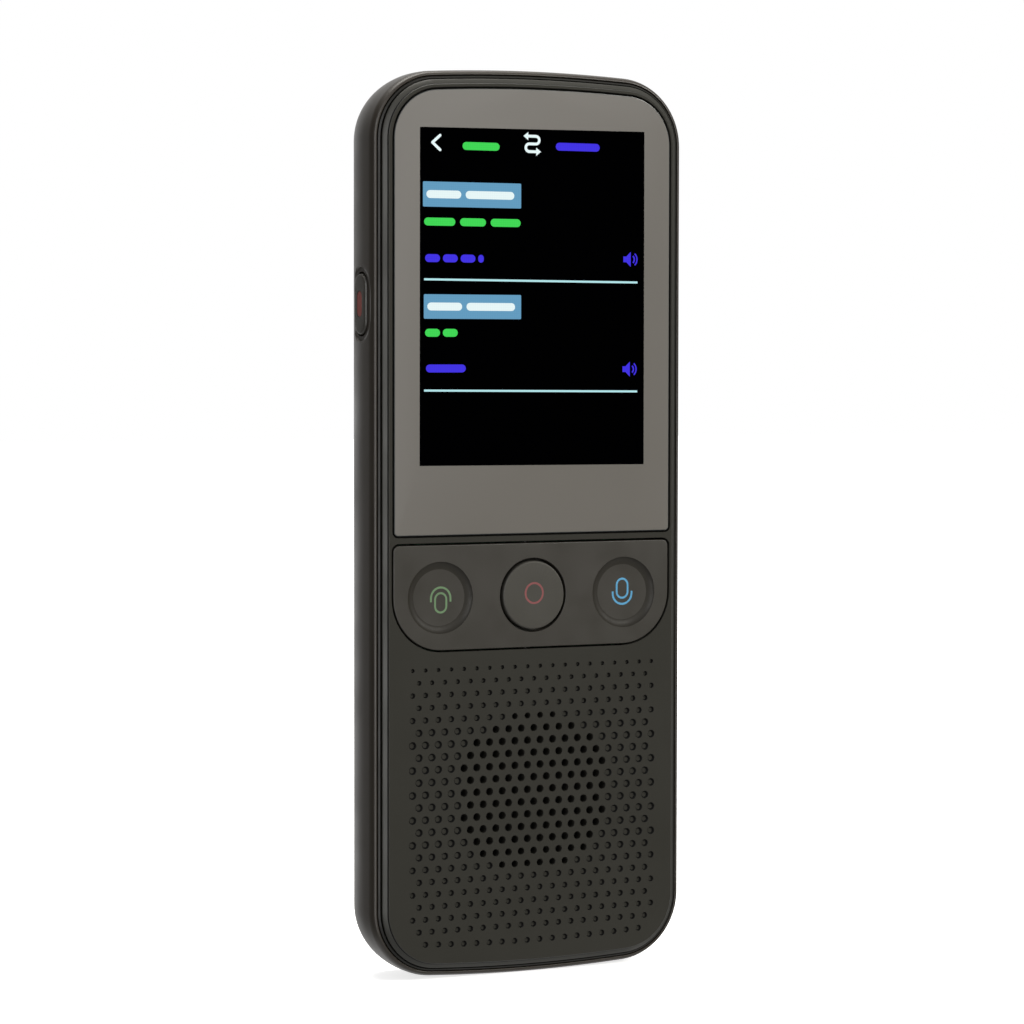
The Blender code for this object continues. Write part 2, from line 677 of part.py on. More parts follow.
def rear_housing(plastic):
    """The deep back shell, with its bosses, the battery's ribs, the port and the side button's scoop."""
    outside = [(body_outline(reach), depth) for reach, depth in rear_sections()]
    inside = [(body_outline(reach), depth) for reach, depth in rear_cavity()]
    mesh = bmesh.new()
    stack(mesh, list(reversed(outside)) + inside[1:])
    housing = body("rear_housing", mesh, plastic)

    mesh = bmesh.new()
    boss_front = BOARD_BACK + TAPE_FIT
    for centre in BOSSES + SUB_BOSSES:
        prism(mesh, circle(centre, BOSS_RADIUS, SMALL_SIDES), boss_front, BACK_INNER + OVERRUN)
    for side in (-1, 1):
        across = side * (BATTERY_WIDE / 2 + FIT + CRADLE_RIB / 2)
        centre = (across, BATTERY_MIDDLE)
        outline = square(centre, CRADLE_RIB, BATTERY_HIGH - 2 * CRADLE_RIB_SHORT)
        prism(mesh, outline, BACK_INNER - CRADLE_RIB_TALL, BACK_INNER + OVERRUN)
    join(housing, "bosses", mesh)

    mesh = bmesh.new()
    for centre in BOSSES + SUB_BOSSES:
        socket_end = boss_front + SCREW_BITE + FIT
        prism(mesh, circle(centre, SOCKET_RADIUS, SMALL_SIDES), boss_front - OVERRUN, socket_end)
    port = pill((0, PORT_DEPTH), PORT_WIDE + 2 * PORT_FIT, PORT_HIGH + 2 * PORT_FIT)
    prism(mesh, port, -OVERRUN, PORT_SUNK + PORT_LONG + FIT, from_below)
    low_hole = circle((BOTTOM_MIC_ASIDE, BOARD_BACK), MIC_HOLE, SMALL_SIDES)
    prism(mesh, low_hole, -OVERRUN, mic_wall(BOTTOM_MIC_ASIDE), from_below)
    high_hole = circle((TOP_MIC_ASIDE, BOARD_BACK), MIC_HOLE, SMALL_SIDES)
    prism(mesh, high_hole, HEIGHT - mic_wall(TOP_MIC_ASIDE), HEIGHT + OVERRUN, from_below)
    middle = (SIDE_DEPTH, SIDE_HEIGHT)
    slot = pill(middle, SIDE_WIDE + 2 * KEY_SEAM, SIDE_LONG + 2 * KEY_SEAM)
    prism(mesh, slot, -WIDTH / 2 - OVERRUN, SIDE_WALL / 2 - FACE_HALF, from_left)
    cut(housing, "openings", mesh)

    mesh = bmesh.new()
    floor_wide = SIDE_WIDE + 2 * (KEY_SEAM + SCOOP_FLOOR_REACH)
    floor_long = SIDE_LONG + 2 * (KEY_SEAM + SCOOP_FLOOR_REACH)
    spread = (OVERRUN + SCOOP_DEPTH) / SCOOP_DEPTH
    mouth_wide = floor_wide + (2 * (SIDE_DEPTH - RIM_FRONT - SCOOP_EDGE) - floor_wide) * spread
    mouth_long = floor_long + (SIDE_LONG + 2 * SCOOP_END - floor_long) * spread
    floor = -WIDTH / 2 + SCOOP_DEPTH
    mouth = -WIDTH / 2 - OVERRUN
    levels = [
        (pill(middle, mouth_wide, mouth_long), mouth),
        (pill(middle, floor_wide, floor_long), floor),
    ]
    stack(mesh, levels, from_left)
    cut(housing, "scoop", mesh)
    return housing


# Display


def lcd_outline(reach):
    """The display module's outline, moved outwards by a reach."""
    corner = LCD_CORNER + reach
    return four_corners(
        -LCD_HALF - reach, LCD_HALF + reach, LCD_FLOOR - reach, LCD_TOP + reach, (corner,) * 4, 2
    )


def glass_outline(reach):
    """The cover glass's outline, moved outwards by a reach."""
    return cut_outline(reach - GLASS_RIM, GLASS_FLOOR - reach, GLASS_CORNER + reach)


def cover_glass(glass):
    """The glass, flush with the face, with a fine bevel on its front edge."""
    mesh = bmesh.new()
    levels = [
        (glass_outline(-GLASS_BEVEL), 0),
        (glass_outline(0), GLASS_BEVEL),
        (glass_outline(0), GLASS_THICK),
    ]
    stack(mesh, levels)
    return body("cover_glass", mesh, glass)


def lens_tape(foam):
    """The tape frame that holds the glass on its ledge, open in the middle for the display."""
    mesh = bmesh.new()
    prism(mesh, glass_outline(-FIT), TAPE_FRONT, TAPE_FRONT + TAPE_THICK)
    tape = body("lens_tape", mesh, foam)
    mesh = bmesh.new()
    prism(mesh, lcd_outline(FIT), TAPE_FRONT - OVERRUN, TAPE_FRONT + TAPE_THICK + OVERRUN)
    cut(tape, "window", mesh)
    return tape


def display_bracket(steel):
    """A pressed steel channel behind the display, with two weight-saving windows."""
    in_reach = LCD_HALF + FIT
    out_reach = in_reach + BRACKET_THICK
    lip = FACE_WALL + FIT
    section = [
        (-out_reach, lip),
        (-in_reach, lip),
        (-in_reach, BRACKET_FRONT),
        (in_reach, BRACKET_FRONT),
        (in_reach, lip),
        (out_reach, lip),
        (out_reach, BRACKET_BACK),
        (-out_reach, BRACKET_BACK),
    ]
    mesh = bmesh.new()
    prism(mesh, section, LCD_FLOOR + BRACKET_SHORT, LCD_TOP - BRACKET_SHORT, from_below)
    bracket = body("display_bracket", mesh, steel)
    mesh = bmesh.new()
    window_high = (LCD_TOP - LCD_FLOOR - 2 * BRACKET_SHORT - 3 * BRACKET_BAR) / 2
    for side in (-1, 1):
        centre = (0, (LCD_FLOOR + LCD_TOP + side * (window_high + BRACKET_BAR)) / 2)
        window = block(centre, 2 * (LCD_HALF - BRACKET_SIDE), window_high, BRACKET_SHORT)
        prism(mesh, window, BRACKET_FRONT - FIT, BRACKET_BACK + FIT)
    cut(bracket, "windows", mesh)
    return bracket


def display(finishes):
    """The screen's stack, its bracket, its flex and the connector on the board."""
    cover_glass(finishes["glass"])
    lens_tape(finishes["foam"])
    simple("lcd_panel", finishes["lcd"], lcd_outline(0), LCD_FRONT, LCD_BACK)
    simple("backlight", finishes["light"], lcd_outline(0), BACKLIGHT_FRONT, BACKLIGHT_BACK)
    display_bracket(finishes["steel"])

    tail_top = LCD_FLOOR - TAPE_FIT
    turn_low = (KEY_TOP + LCD_FLOOR) / 2
    tail = BOARD_FRONT - TAPE_FIT
    front = BACKLIGHT_FRONT
    section = [
        (front, tail_top),
        (front, turn_low),
        (tail, turn_low),
        (tail, tail_top),
        (tail - FLEX_THICK, tail_top),
        (tail - FLEX_THICK, turn_low + FLEX_THICK),
        (front + FLEX_THICK, turn_low + FLEX_THICK),
        (front + FLEX_THICK, tail_top),
    ]
    half = DISPLAY_FLEX_WIDE / 2
    simple("display_flex", finishes["flex"], section, -half, half, from_left)
    centre = (0, tail_top + FIT + CONNECTOR_HIGH / 2)
    outline = square(centre, CONNECTOR_WIDE, CONNECTOR_HIGH)
    simple("display_connector", finishes["nylon"], outline, tail - CONNECTOR_THICK, tail)


# Keys


def key_plate(plastic):
    """The rocking plate: two dished keys, the button's guide, the key nubs and the pivot pins."""
    mesh = bmesh.new()
    levels = [
        (key_outline(-KEY_EDGE), 0),
        (key_outline(0), KEY_EDGE),
        (key_outline(0), KEY_WALL),
    ]
    stack(mesh, levels)
    plate = body("key_plate", mesh, plastic)

    mesh = bmesh.new()
    for side in (-1, 1):
        nub = circle((side * DISH_SPREAD, KEY_MIDDLE), NUB_RADIUS, SMALL_SIDES)
        prism(mesh, nub, KEY_WALL - OVERRUN, KEY_WALL + NUB_LONG)
    sleeve = BUTTON_HOLE + SLEEVE_WALL
    turned(mesh, (0, KEY_MIDDLE), ((sleeve, KEY_WALL - OVERRUN), (sleeve, SLEEVE_BACK)))
    for edge, way in ((KEY_TOP, 1), (KEY_BOTTOM, -1)):
        arm_middle = edge - way * PIVOT_LONG
        arm = square((0, arm_middle), 2 * PIVOT_RADIUS, PIVOT_LONG)
        prism(mesh, arm, KEY_WALL - OVERRUN, PIVOT_DEPTH)
    join(plate, "back", mesh)

    mesh = bmesh.new()
    for edge, way in ((KEY_TOP, 1), (KEY_BOTTOM, -1)):
        pin = circle((0, PIVOT_DEPTH), PIVOT_RADIUS, SMALL_SIDES)
        ends = sorted((edge - way * PIVOT_LONG * 1.25, edge + way * PIVOT_LONG))
        prism(mesh, pin, ends[0], ends[1], from_below)
    join(plate, "pins", mesh)

    mesh = bmesh.new()
    hole = circle((0, KEY_MIDDLE), BUTTON_HOLE)
    prism(mesh, hole, -OVERRUN, SLEEVE_BACK + OVERRUN)
    slope = (DISH_RADIUS - DISH_FLOOR_RADIUS) / DISH_DEPTH
    for side in (-1, 1):
        profile = ((DISH_RADIUS + slope * OVERRUN, -OVERRUN), (DISH_FLOOR_RADIUS, DISH_DEPTH))
        turned(mesh, (side * DISH_SPREAD, KEY_MIDDLE), profile)
    cut(plate, "dishes", mesh)
    return plate


def centre_button(plastic):
    """The round button: a cap with a rounded edge, its stem and the flange behind the plate's guide."""
    profile = (
        (BUTTON_RADIUS - BUTTON_EDGE, -BUTTON_PROUD),
        (BUTTON_RADIUS - BUTTON_EDGE / 4, -BUTTON_PROUD + BUTTON_EDGE / 4),
        (BUTTON_RADIUS, -BUTTON_PROUD + BUTTON_EDGE),
        (BUTTON_RADIUS, BUTTON_CAP - BUTTON_PROUD),
        (STEM_RADIUS, BUTTON_CAP - BUTTON_PROUD),
        (STEM_RADIUS, FLANGE_FRONT),
        (BUTTON_HOLE + SLEEVE_WALL, FLANGE_FRONT),
        (BUTTON_HOLE + SLEEVE_WALL, FLANGE_BACK),
    )
    return round_piece("centre_button", plastic, (0, KEY_MIDDLE), profile)


def keypad(silicone):
    """The silicone box under the keys, with a pad in front and a post behind for each switch."""
    half = BOARD_HALF - FIT
    middle = (0, KEY_MIDDLE)
    high = KEY_HIGH - 2 * KEYPAD_MARGIN
    mesh = bmesh.new()
    prism(mesh, block(middle, 2 * half, high, KEYPAD_CORNER), KEYPAD_FRONT, KEYPAD_BACK)
    pad = body("keypad", mesh, silicone)
    mesh = bmesh.new()
    inner = block(middle, 2 * (half - KEYPAD_WALL), high - 2 * KEYPAD_WALL, KEYPAD_CORNER / 2)
    prism(mesh, inner, KEYPAD_FRONT + KEYPAD_SHEET, KEYPAD_BACK + OVERRUN)
    cut(pad, "hollow", mesh)
    mesh = bmesh.new()
    sheet_middle = KEYPAD_FRONT + KEYPAD_SHEET / 2
    pad_front = KEY_WALL + NUB_LONG + 2 * FIT
    for across in (-DISH_SPREAD, DISH_SPREAD):
        prism(mesh, circle((across, KEY_MIDDLE), PAD_RADIUS, SMALL_SIDES), pad_front, sheet_middle)
    join(pad, "pads", mesh)
    mesh = bmesh.new()
    post_end = SWITCH_FRONT - SWITCH_TRAVEL_ROOM
    for across in (-DISH_SPREAD, 0, DISH_SPREAD):
        post = circle((across, KEY_MIDDLE), PAD_RADIUS / 2, SMALL_SIDES)
        prism(mesh, post, sheet_middle + KEYPAD_SHEET / 4, post_end)
    join(pad, "posts", mesh)
    return pad


def keys(finishes):
    """Everything that is pressed on the front, with the switches behind it."""
    key_plate(finishes["key"])
    centre_button(finishes["button"])
    keypad(finishes["silicone"])
    for name, across in (("left", -DISH_SPREAD), ("centre", 0), ("right", DISH_SPREAD)):
        centre = (across, KEY_MIDDLE)
        base = block(centre, SWITCH_WIDE, SWITCH_WIDE, SWITCH_WIDE / 8)
        mesh = bmesh.new()
        prism(mesh, base, SWITCH_FRONT + SWITCH_DEEP / 3, BOARD_FRONT - TAPE_FIT)
        switch = body(name + "_switch", mesh, finishes["steel"])
        mesh = bmesh.new()
        plunger = circle(centre, SWITCH_WIDE / 4, SMALL_SIDES)
        prism(mesh, plunger, SWITCH_FRONT, SWITCH_FRONT + SWITCH_DEEP / 2)
        join(switch, "plunger", mesh)


def side_button(finishes):
    """The power button on the left wall, its coloured inlay and the switch that it presses."""
    middle = (SIDE_DEPTH, SIDE_HEIGHT)
    face = -WIDTH / 2 + SIDE_SUNK
    flange_wide = SIDE_WIDE + 2 * SIDE_FLANGE_SIDE
    flange_long = SIDE_LONG + 2 * SIDE_FLANGE_END
    flange = KEY_SEAM - FACE_HALF - wall_reach(SIDE_DEPTH + flange_wide / 2)
    flange_back = flange + SIDE_FLANGE
    mesh = bmesh.new()
    levels = [
        (pill(middle, SIDE_WIDE - 2 * SIDE_EDGE, SIDE_LONG - 2 * SIDE_EDGE), face),
        (pill(middle, SIDE_WIDE - SIDE_EDGE / 2, SIDE_LONG - SIDE_EDGE / 2), face + SIDE_EDGE / 4),
        (pill(middle, SIDE_WIDE, SIDE_LONG), face + SIDE_EDGE),
        (pill(middle, SIDE_WIDE, SIDE_LONG), flange),
        (pill(middle, flange_wide, flange_long), flange),
        (pill(middle, flange_wide, flange_long), flange_back),
    ]
    stack(mesh, levels, from_left)
    cap = body("side_button", mesh, finishes["key"])
    mesh = bmesh.new()
    prism(mesh, pill(middle, INLAY_WIDE, INLAY_LONG), face - OVERRUN, face + INLAY_DEPTH, from_left)
    cut(cap, "inlay_seat", mesh)
    inlay = pill(middle, INLAY_WIDE - 2 * TAPE_FIT, INLAY_LONG - 2 * TAPE_FIT)
    simple("side_button_inlay", finishes["red"], inlay, face, face + INLAY_DEPTH - TAPE_FIT, from_left)

    switch_face = flange_back + SIDE_TRAVEL + TAPE_FIT
    switch_deep = BOARD_BACK + TAPE_FIT + SIDE_SWITCH_WIDE / 2
    outline = square((switch_deep, SIDE_HEIGHT), SIDE_SWITCH_WIDE, SIDE_SWITCH_LONG)
    mesh = bmesh.new()
    body_face = switch_face + SIDE_TRAVEL + FIT
    prism(mesh, outline, body_face, body_face + SIDE_SWITCH_DEEP, from_left)
    switch = body("side_switch", mesh, finishes["steel"])
    mesh = bmesh.new()
    plunger = square((switch_deep, SIDE_HEIGHT), SIDE_SWITCH_WIDE / 2, SIDE_SWITCH_LONG / 3)
    prism(mesh, plunger, switch_face, body_face + FIT, from_left)
    join(switch, "plunger", mesh)


# Boards and what is on them


def main_board(fibreglass):
    """The main board, with its screw holes."""
    mesh = bmesh.new()
    prism(mesh, cut_outline(-BOARD_MARGIN, BOARD_FLOOR, BOARD_CORNER), BOARD_FRONT, BOARD_BACK)
    board = body("main_board", mesh, fibreglass)
    mesh = bmesh.new()
    for centre in BOSSES:
        hole = circle(centre, SOCKET_RADIUS, SMALL_SIDES)
        prism(mesh, hole, BOARD_FRONT - OVERRUN, BOARD_BACK + OVERRUN)
    cut(board, "screw_holes", mesh)
    return board


def shield_can(steel):
    """A tinned can, open towards the board."""
    near = BOARD_FRONT - TAPE_FIT - CAN_DEEP
    far = BOARD_FRONT - TAPE_FIT
    centre = (0, BATTERY_MIDDLE)
    mesh = bmesh.new()
    prism(mesh, block(centre, CAN_WIDE, CAN_WIDE, CAN_WALL * 3), near, far)
    can = body("shield_can", mesh, steel)
    mesh = bmesh.new()
    inside = CAN_WIDE - 2 * CAN_WALL
    prism(mesh, block(centre, inside, inside, CAN_WALL), near + CAN_WALL, far + OVERRUN)
    cut(can, "hollow", mesh)
    return centre


def boards(finishes):
    """Both boards, their link, the chips, the screws and the antenna."""
    main_board(finishes["board"])
    can_centre = shield_can(finishes["steel"])
    chip_back = BOARD_FRONT - TAPE_FIT
    chip = square(can_centre, CHIP_WIDE, CHIP_WIDE)
    simple("processor", finishes["chip"], chip, chip_back - CHIP_THICK, chip_back)
    above = can_centre[1] + CAN_WIDE / 2 + MEMORY_HIGH
    memory = square((0, above), MEMORY_WIDE, MEMORY_HIGH)
    simple("memory_chip", finishes["chip"], memory, chip_back - CHIP_THICK, chip_back)

    mesh = bmesh.new()
    half = SUB_WIDE / 2
    outline = four_corners(-half, half, SUB_FLOOR, SUB_TOP, (BOARD_CORNER,) * 4, 2)
    prism(mesh, outline, BOARD_FRONT, BOARD_BACK)
    sub = body("sub_board", mesh, finishes["board"])
    mesh = bmesh.new()
    notch_top = PORT_SUNK + PORT_LONG + FIT
    notch = [(-1, -1), (1, -1), (1, 1), (-1, 1)]
    notch_half = PORT_WIDE / 2 + FIT
    low = SUB_FLOOR - OVERRUN
    outline = [(i * notch_half, notch_top if j > 0 else low) for i, j in notch]
    prism(mesh, outline, BOARD_FRONT - OVERRUN, BOARD_BACK + OVERRUN)
    for centre in SUB_BOSSES:
        hole = circle(centre, SOCKET_RADIUS, SMALL_SIDES)
        prism(mesh, hole, BOARD_FRONT - OVERRUN, BOARD_BACK + OVERRUN)
    cut(sub, "cut_outs", mesh)

    ends = (SUB_TOP - LINK_LAP, BOARD_FLOOR + LINK_LAP)
    link = square((LINK_ASIDE, sum(ends) / 2), LINK_WIDE, ends[1] - ends[0])
    near = BOARD_BACK + TAPE_FIT
    simple("link_flex", finishes["flex"], link, near, near + FLEX_THICK)

    head_back = BOARD_FRONT - TAPE_FIT
    profile = (
        (SCREW_HEAD_RADIUS - SCREW_HEAD / 3, head_back - SCREW_HEAD),
        (SCREW_HEAD_RADIUS, head_back - SCREW_HEAD / 2),
        (SCREW_HEAD_RADIUS, head_back),
        (SCREW_RADIUS, head_back),
        (SCREW_RADIUS, BOARD_BACK + SCREW_BITE),
    )
    for number, centre in enumerate(BOSSES + SUB_BOSSES, 1):
        round_piece(f"board_screw_{number}", finishes["steel"], centre, profile, SCREW_SIDES)

    centre = (0, BATTERY_TOP + FIT + ANTENNA_HIGH / 2)
    far = BACK_INNER - TAPE_FIT
    outline = block(centre, BATTERY_WIDE - 2 * ANTENNA_INSET, ANTENNA_HIGH, BOARD_CORNER)
    simple("antenna", finishes["flex"], outline, far - FLEX_THICK, far)


def wire(name, finish_used, points, radius):
    """A round lead through smoothed points."""
    data = bpy.data.curves.new(name, "CURVE")
    data.dimensions = "3D"
    data.bevel_depth = radius
    data.bevel_resolution = 1
    data.use_fill_caps = True
    line = data.splines.new("POLY")
    line.points.add(len(points) - 1)
    for place, point in zip(line.points, points):
        place.co = (*point, 1)
    data.materials.append(finish_used)
    item = bpy.data.objects.new(name, data)
    bpy.context.scene.collection.objects.link(item)
    return item


def bend(start, corner, end, steps=6):
    """A quadratic bend from one point to another."""
    points = []
    for i in range(steps + 1):
        share = i / steps
        near = start.lerp(corner, share)
        points.append(near.lerp(corner.lerp(end, share), share))
    return points


def battery(finishes):
    """The pouch cell, its tape, its plug on the board and its lead."""
    centre = (0, BATTERY_MIDDLE)
    in_wide = BATTERY_WIDE - 2 * BATTERY_EDGE
    in_high = BATTERY_HIGH - 2 * BATTERY_EDGE
    mesh = bmesh.new()
    inner = block(centre, in_wide, in_high, BATTERY_CORNER, 3)
    outer = block(centre, BATTERY_WIDE, BATTERY_HIGH, BATTERY_CORNER, 3)
    levels = [
        (inner, BATTERY_FRONT),
        (outer, BATTERY_FRONT + BATTERY_EDGE),
        (outer, BATTERY_BACK - BATTERY_EDGE),
        (inner, BATTERY_BACK),
    ]
    stack(mesh, levels)
    body("battery", mesh, finishes["foil"])
    near = BATTERY_BACK + TAPE_FIT
    outline = block(centre, BATTERY_WIDE - 2 * PAD_INSET, BATTERY_HIGH - 2 * PAD_INSET, BATTERY_CORNER)
    simple("battery_tape", finishes["foam"], outline, near, near + PAD_THICK)

    plug_back = BOARD_BACK + TAPE_FIT + PLUG_THICK
    plug_top = BATTERY_FLOOR - PLUG_HIGH
    outline = square((-PLUG_ASIDE, plug_top - PLUG_HIGH / 2), PLUG_WIDE, PLUG_HIGH)
    simple("battery_plug", finishes["nylon"], outline, BOARD_BACK + TAPE_FIT, plug_back)
    deep = (BOARD_BACK + plug_back) / 2
    start = from_front(-PLUG_ASIDE, BATTERY_FLOOR - LEAD_RADIUS, deep)
    end = from_front(-PLUG_ASIDE, plug_top + LEAD_RADIUS, deep)
    corner = from_front(-PLUG_ASIDE - PLUG_WIDE / 2, (BATTERY_FLOOR + plug_top) / 2, deep)
    wire("battery_lead", finishes["wire"], bend(start, corner, end), LEAD_RADIUS)


# Sound


def speaker(finishes):
    """The speaker behind the grille, from its dust mesh back to the foam that presses it forward."""
    centre = (0, SPEAKER_HEIGHT)
    mesh_front = FACE_WALL + TAPE_FIT
    gasket_front = mesh_front + MESH_THICK + TAPE_FIT
    basket_front = gasket_front + GASKET_THICK + TAPE_FIT
    basket_back = basket_front + BASKET_DEEP
    disc = ((SPEAKER_RADIUS, mesh_front), (SPEAKER_RADIUS, mesh_front + MESH_THICK))
    round_piece("dust_mesh", finishes["mesh"], centre, disc, INNER_SIDES)
    gasket_back = gasket_front + GASKET_THICK
    ring = (
        (SPEAKER_RADIUS - GASKET_WALL, gasket_front),
        (SPEAKER_RADIUS, gasket_front),
        (SPEAKER_RADIUS, gasket_back),
        (SPEAKER_RADIUS - GASKET_WALL, gasket_back),
    )
    round_piece("speaker_gasket", finishes["foam"], centre, ring, INNER_SIDES, closed=True)

    seat = MAGNET_RADIUS + FIT
    section = (
        (SPEAKER_RADIUS - BASKET_RIM, basket_front),
        (SPEAKER_RADIUS, basket_front),
        (SPEAKER_RADIUS, basket_front + BASKET_RIM),
        (seat + BASKET_WALL, basket_back),
        (seat, basket_back),
        (seat, basket_back - BASKET_WALL),
        (SPEAKER_RADIUS - BASKET_RIM, basket_front + BASKET_WALL),
    )
    round_piece("speaker_basket", finishes["nylon"], centre, section, INNER_SIDES, closed=True)

    magnet_front = basket_back - BASKET_WALL
    magnet_back = magnet_front + MAGNET_DEEP
    profile = (
        (MAGNET_RADIUS - MAGNET_EDGE, magnet_front),
        (MAGNET_RADIUS, magnet_front + MAGNET_EDGE),
        (MAGNET_RADIUS, magnet_back - MAGNET_EDGE),
        (MAGNET_RADIUS - MAGNET_EDGE, magnet_back),
    )
    round_piece("speaker_magnet", finishes["steel"], centre, profile, INNER_SIDES)

    edge = SPEAKER_RADIUS - BASKET_RIM - FIT
    front_side = (
        (edge / 4, basket_front + CONE_ROLL / 2),
        (edge / 2, basket_front + 2 * CONE_ROLL),
        (edge * 7 / 8, basket_front + CONE_ROLL / 4),
        (edge, basket_front + CONE_ROLL / 2),
    )
    back_side = tuple((radius, depth + CONE_THICK) for radius, depth in reversed(front_side))
    round_piece("speaker_cone", finishes["cone"], centre, front_side + back_side, INNER_SIDES)

    foam_front = magnet_back + TAPE_FIT
    pad = ((FOAM_RADIUS, foam_front), (FOAM_RADIUS, BACK_INNER - TAPE_FIT))
    round_piece("speaker_foam", finishes["foam"], centre, pad, INNER_SIDES)

    side = -(SPEAKER_RADIUS + MAGNET_RADIUS) / 2
    deep = basket_back + FIT + LEAD_RADIUS
    start = from_front(side, SPEAKER_HEIGHT, deep)
    end = from_front(side, SUB_TOP - LINK_LAP, BOARD_BACK + TAPE_FIT + LEAD_RADIUS)
    corner = from_front(side - LEAD_RADIUS, (SPEAKER_HEIGHT + SUB_TOP) / 2, deep + LEAD_RADIUS)
    wire("speaker_lead", finishes["wire"], bend(start, corner, end), LEAD_RADIUS)


def microphone(name, finishes, across, wall, inwards):
    """A microphone capsule in a rubber boot, with its mouth against an end wall. Inwards is 1 or -1."""
    axis = (across, BOARD_BACK)
    mouth = wall + inwards * TAPE_FIT
    seat = mouth + inwards * BOOT_FLOOR
    rim = seat + inwards * (TAPE_FIT + MIC_LONG)
    inner = MIC_RADIUS + TAPE_FIT
    outer = inner + BOOT_WALL
    profile = (
        (MIC_HOLE, mouth),
        (outer, mouth),
        (outer, rim),
        (inner, rim),
        (inner, seat),
        (MIC_HOLE, seat),
    )
    round_piece(name + "_boot", finishes["silicone"], axis, profile, SMALL_SIDES, from_below, True)
    can = ((MIC_RADIUS, seat + inwards * TAPE_FIT), (MIC_RADIUS, rim))
    round_piece(name, finishes["steel"], axis, can, SMALL_SIDES, from_below)


def microphones(finishes):
    """One microphone at each end."""
    microphone("bottom_mic", finishes, BOTTOM_MIC_ASIDE, mic_wall(BOTTOM_MIC_ASIDE), 1)
    microphone("top_mic", finishes, TOP_MIC_ASIDE, HEIGHT - mic_wall(TOP_MIC_ASIDE), -1)


def port(finishes):
    """The charging port's shell, open at its mouth, and the tongue inside it."""
    axis = (0, PORT_DEPTH)
    top = PORT_SUNK + PORT_LONG
    mesh = bmesh.new()
    prism(mesh, pill(axis, PORT_WIDE, PORT_HIGH), PORT_SUNK, top, from_below)
    shell = body("usb_shell", mesh, finishes["steel"])
    mesh = bmesh.new()
    mouth = pill(axis, PORT_WIDE - 2 * PORT_WALL, PORT_HIGH - 2 * PORT_WALL)
    prism(mesh, mouth, PORT_SUNK - OVERRUN, top - PORT_WALL, from_below)
    cut(shell, "mouth", mesh)
    tongue = square(axis, TONGUE_WIDE, TONGUE_THICK)
    tongue_top = top - PORT_WALL - TAPE_FIT
    simple("usb_tongue", finishes["nylon"], tongue, PORT_SUNK + TONGUE_SUNK, tongue_top, from_below)


# Assembly


def axis_empty(name, place, parent=None):
    """An empty on a joint's axis, which carries the pieces that move together."""
    empty = bpy.data.objects.new(name, None)
    bpy.context.scene.collection.objects.link(empty)
    empty.location = place
    empty.empty_display_size = PIVOT_LONG * 4
    bpy.context.view_layer.update()
    if parent:
        carry(empty, parent)
    return empty


def carry(child, parent):
    """Parents an object and leaves it where it is."""
    bpy.context.view_layer.update()
    place = child.matrix_world.copy()
    child.parent = parent
    child.matrix_parent_inverse = Matrix.Identity(4)
    child.matrix_basis = parent.matrix_world.inverted() @ place


def moving_pieces():
    """Carries each moving piece on an empty at its joint."""
    scene = bpy.data.objects
    rocker = axis_empty("key_rocker_axis", from_front(0, KEY_MIDDLE, PIVOT_DEPTH))
    push = axis_empty("button_slide_axis", from_front(0, KEY_MIDDLE, 0), rocker)
    side_place = from_left(SIDE_DEPTH, SIDE_HEIGHT, -WIDTH / 2 + SIDE_SUNK)
    side = axis_empty("side_button_axis", side_place)
    carry(scene["key_plate"], rocker)
    carry(scene["centre_button"], push)
    carry(scene["side_button"], side)
    carry(scene["side_button_inlay"], side)


def clear_scene():
    """Removes whatever the scene starts with."""
    for item in list(bpy.data.objects):
        bpy.data.objects.remove(item, do_unlink=True)


def main():
    """Builds every piece in its place."""
    clear_scene()
    finishes = {
        "housing": finish("soft_touch_black", (0.040, 0.038, 0.031), 0.55),
        "shell": finish("satin_black", (0.030, 0.028, 0.025), 0.38),
        "trim": finish("dark_trim", (0.055, 0.053, 0.047), 0.35, 0.6),
        "key": finish("key_black", (0.052, 0.050, 0.043), 0.45),
        "button": finish("button_black", (0.060, 0.057, 0.050), 0.4),
        "red": finish("red_inlay", (0.30, 0.03, 0.02), 0.4),
        "glass": finish("cover_glass", (0.18, 0.175, 0.16), 0.05, 0.0, 0.4),
        "lcd": finish("lcd_glass", (0.01, 0.01, 0.012), 0.1),
        "foam": finish("black_foam", (0.02, 0.02, 0.02), 0.95),
        "light": finish("backlight_white", (0.6, 0.6, 0.6), 0.5),
        "steel": finish("tinned_steel", (0.55, 0.55, 0.54), 0.3, 1.0),
        "nylon": finish("black_nylon", (0.03, 0.03, 0.032), 0.6),
        "flex": finish("amber_flex", (0.45, 0.18, 0.04), 0.4),
        "board": finish("green_board", (0.02, 0.12, 0.05), 0.45),
        "chip": finish("chip_epoxy", (0.015, 0.015, 0.017), 0.6),
        "silicone": finish("grey_silicone", (0.12, 0.12, 0.12), 0.8),
        "foil": finish("pouch_foil", (0.5, 0.51, 0.53), 0.35, 0.9),
        "wire": finish("red_wire", (0.4, 0.02, 0.02), 0.5),
        "mesh": finish("woven_mesh", (0.012, 0.012, 0.012), 0.9),
        "cone": finish("paper_cone", (0.025, 0.025, 0.027), 0.7),
    }
    front_housing(finishes["housing"])
    trim_ring(finishes["trim"])
    rear_housing(finishes["shell"])
    display(finishes)
    keys(finishes)
    side_button(finishes)
    boards(finishes)
    battery(finishes)
    speaker(finishes)
    microphones(finishes)
    port(finishes)
    moving_pieces()


main()
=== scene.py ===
"""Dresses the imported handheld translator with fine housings, a lit screen, keys and real finishes."""

import json
import logging
import math
from dataclasses import dataclass, field
from enum import Enum
from typing import Any, Iterable, Mapping, Sequence

import bmesh
import bpy
from mathutils import Matrix, Vector
from mathutils.geometry import delaunay_2d_cdt


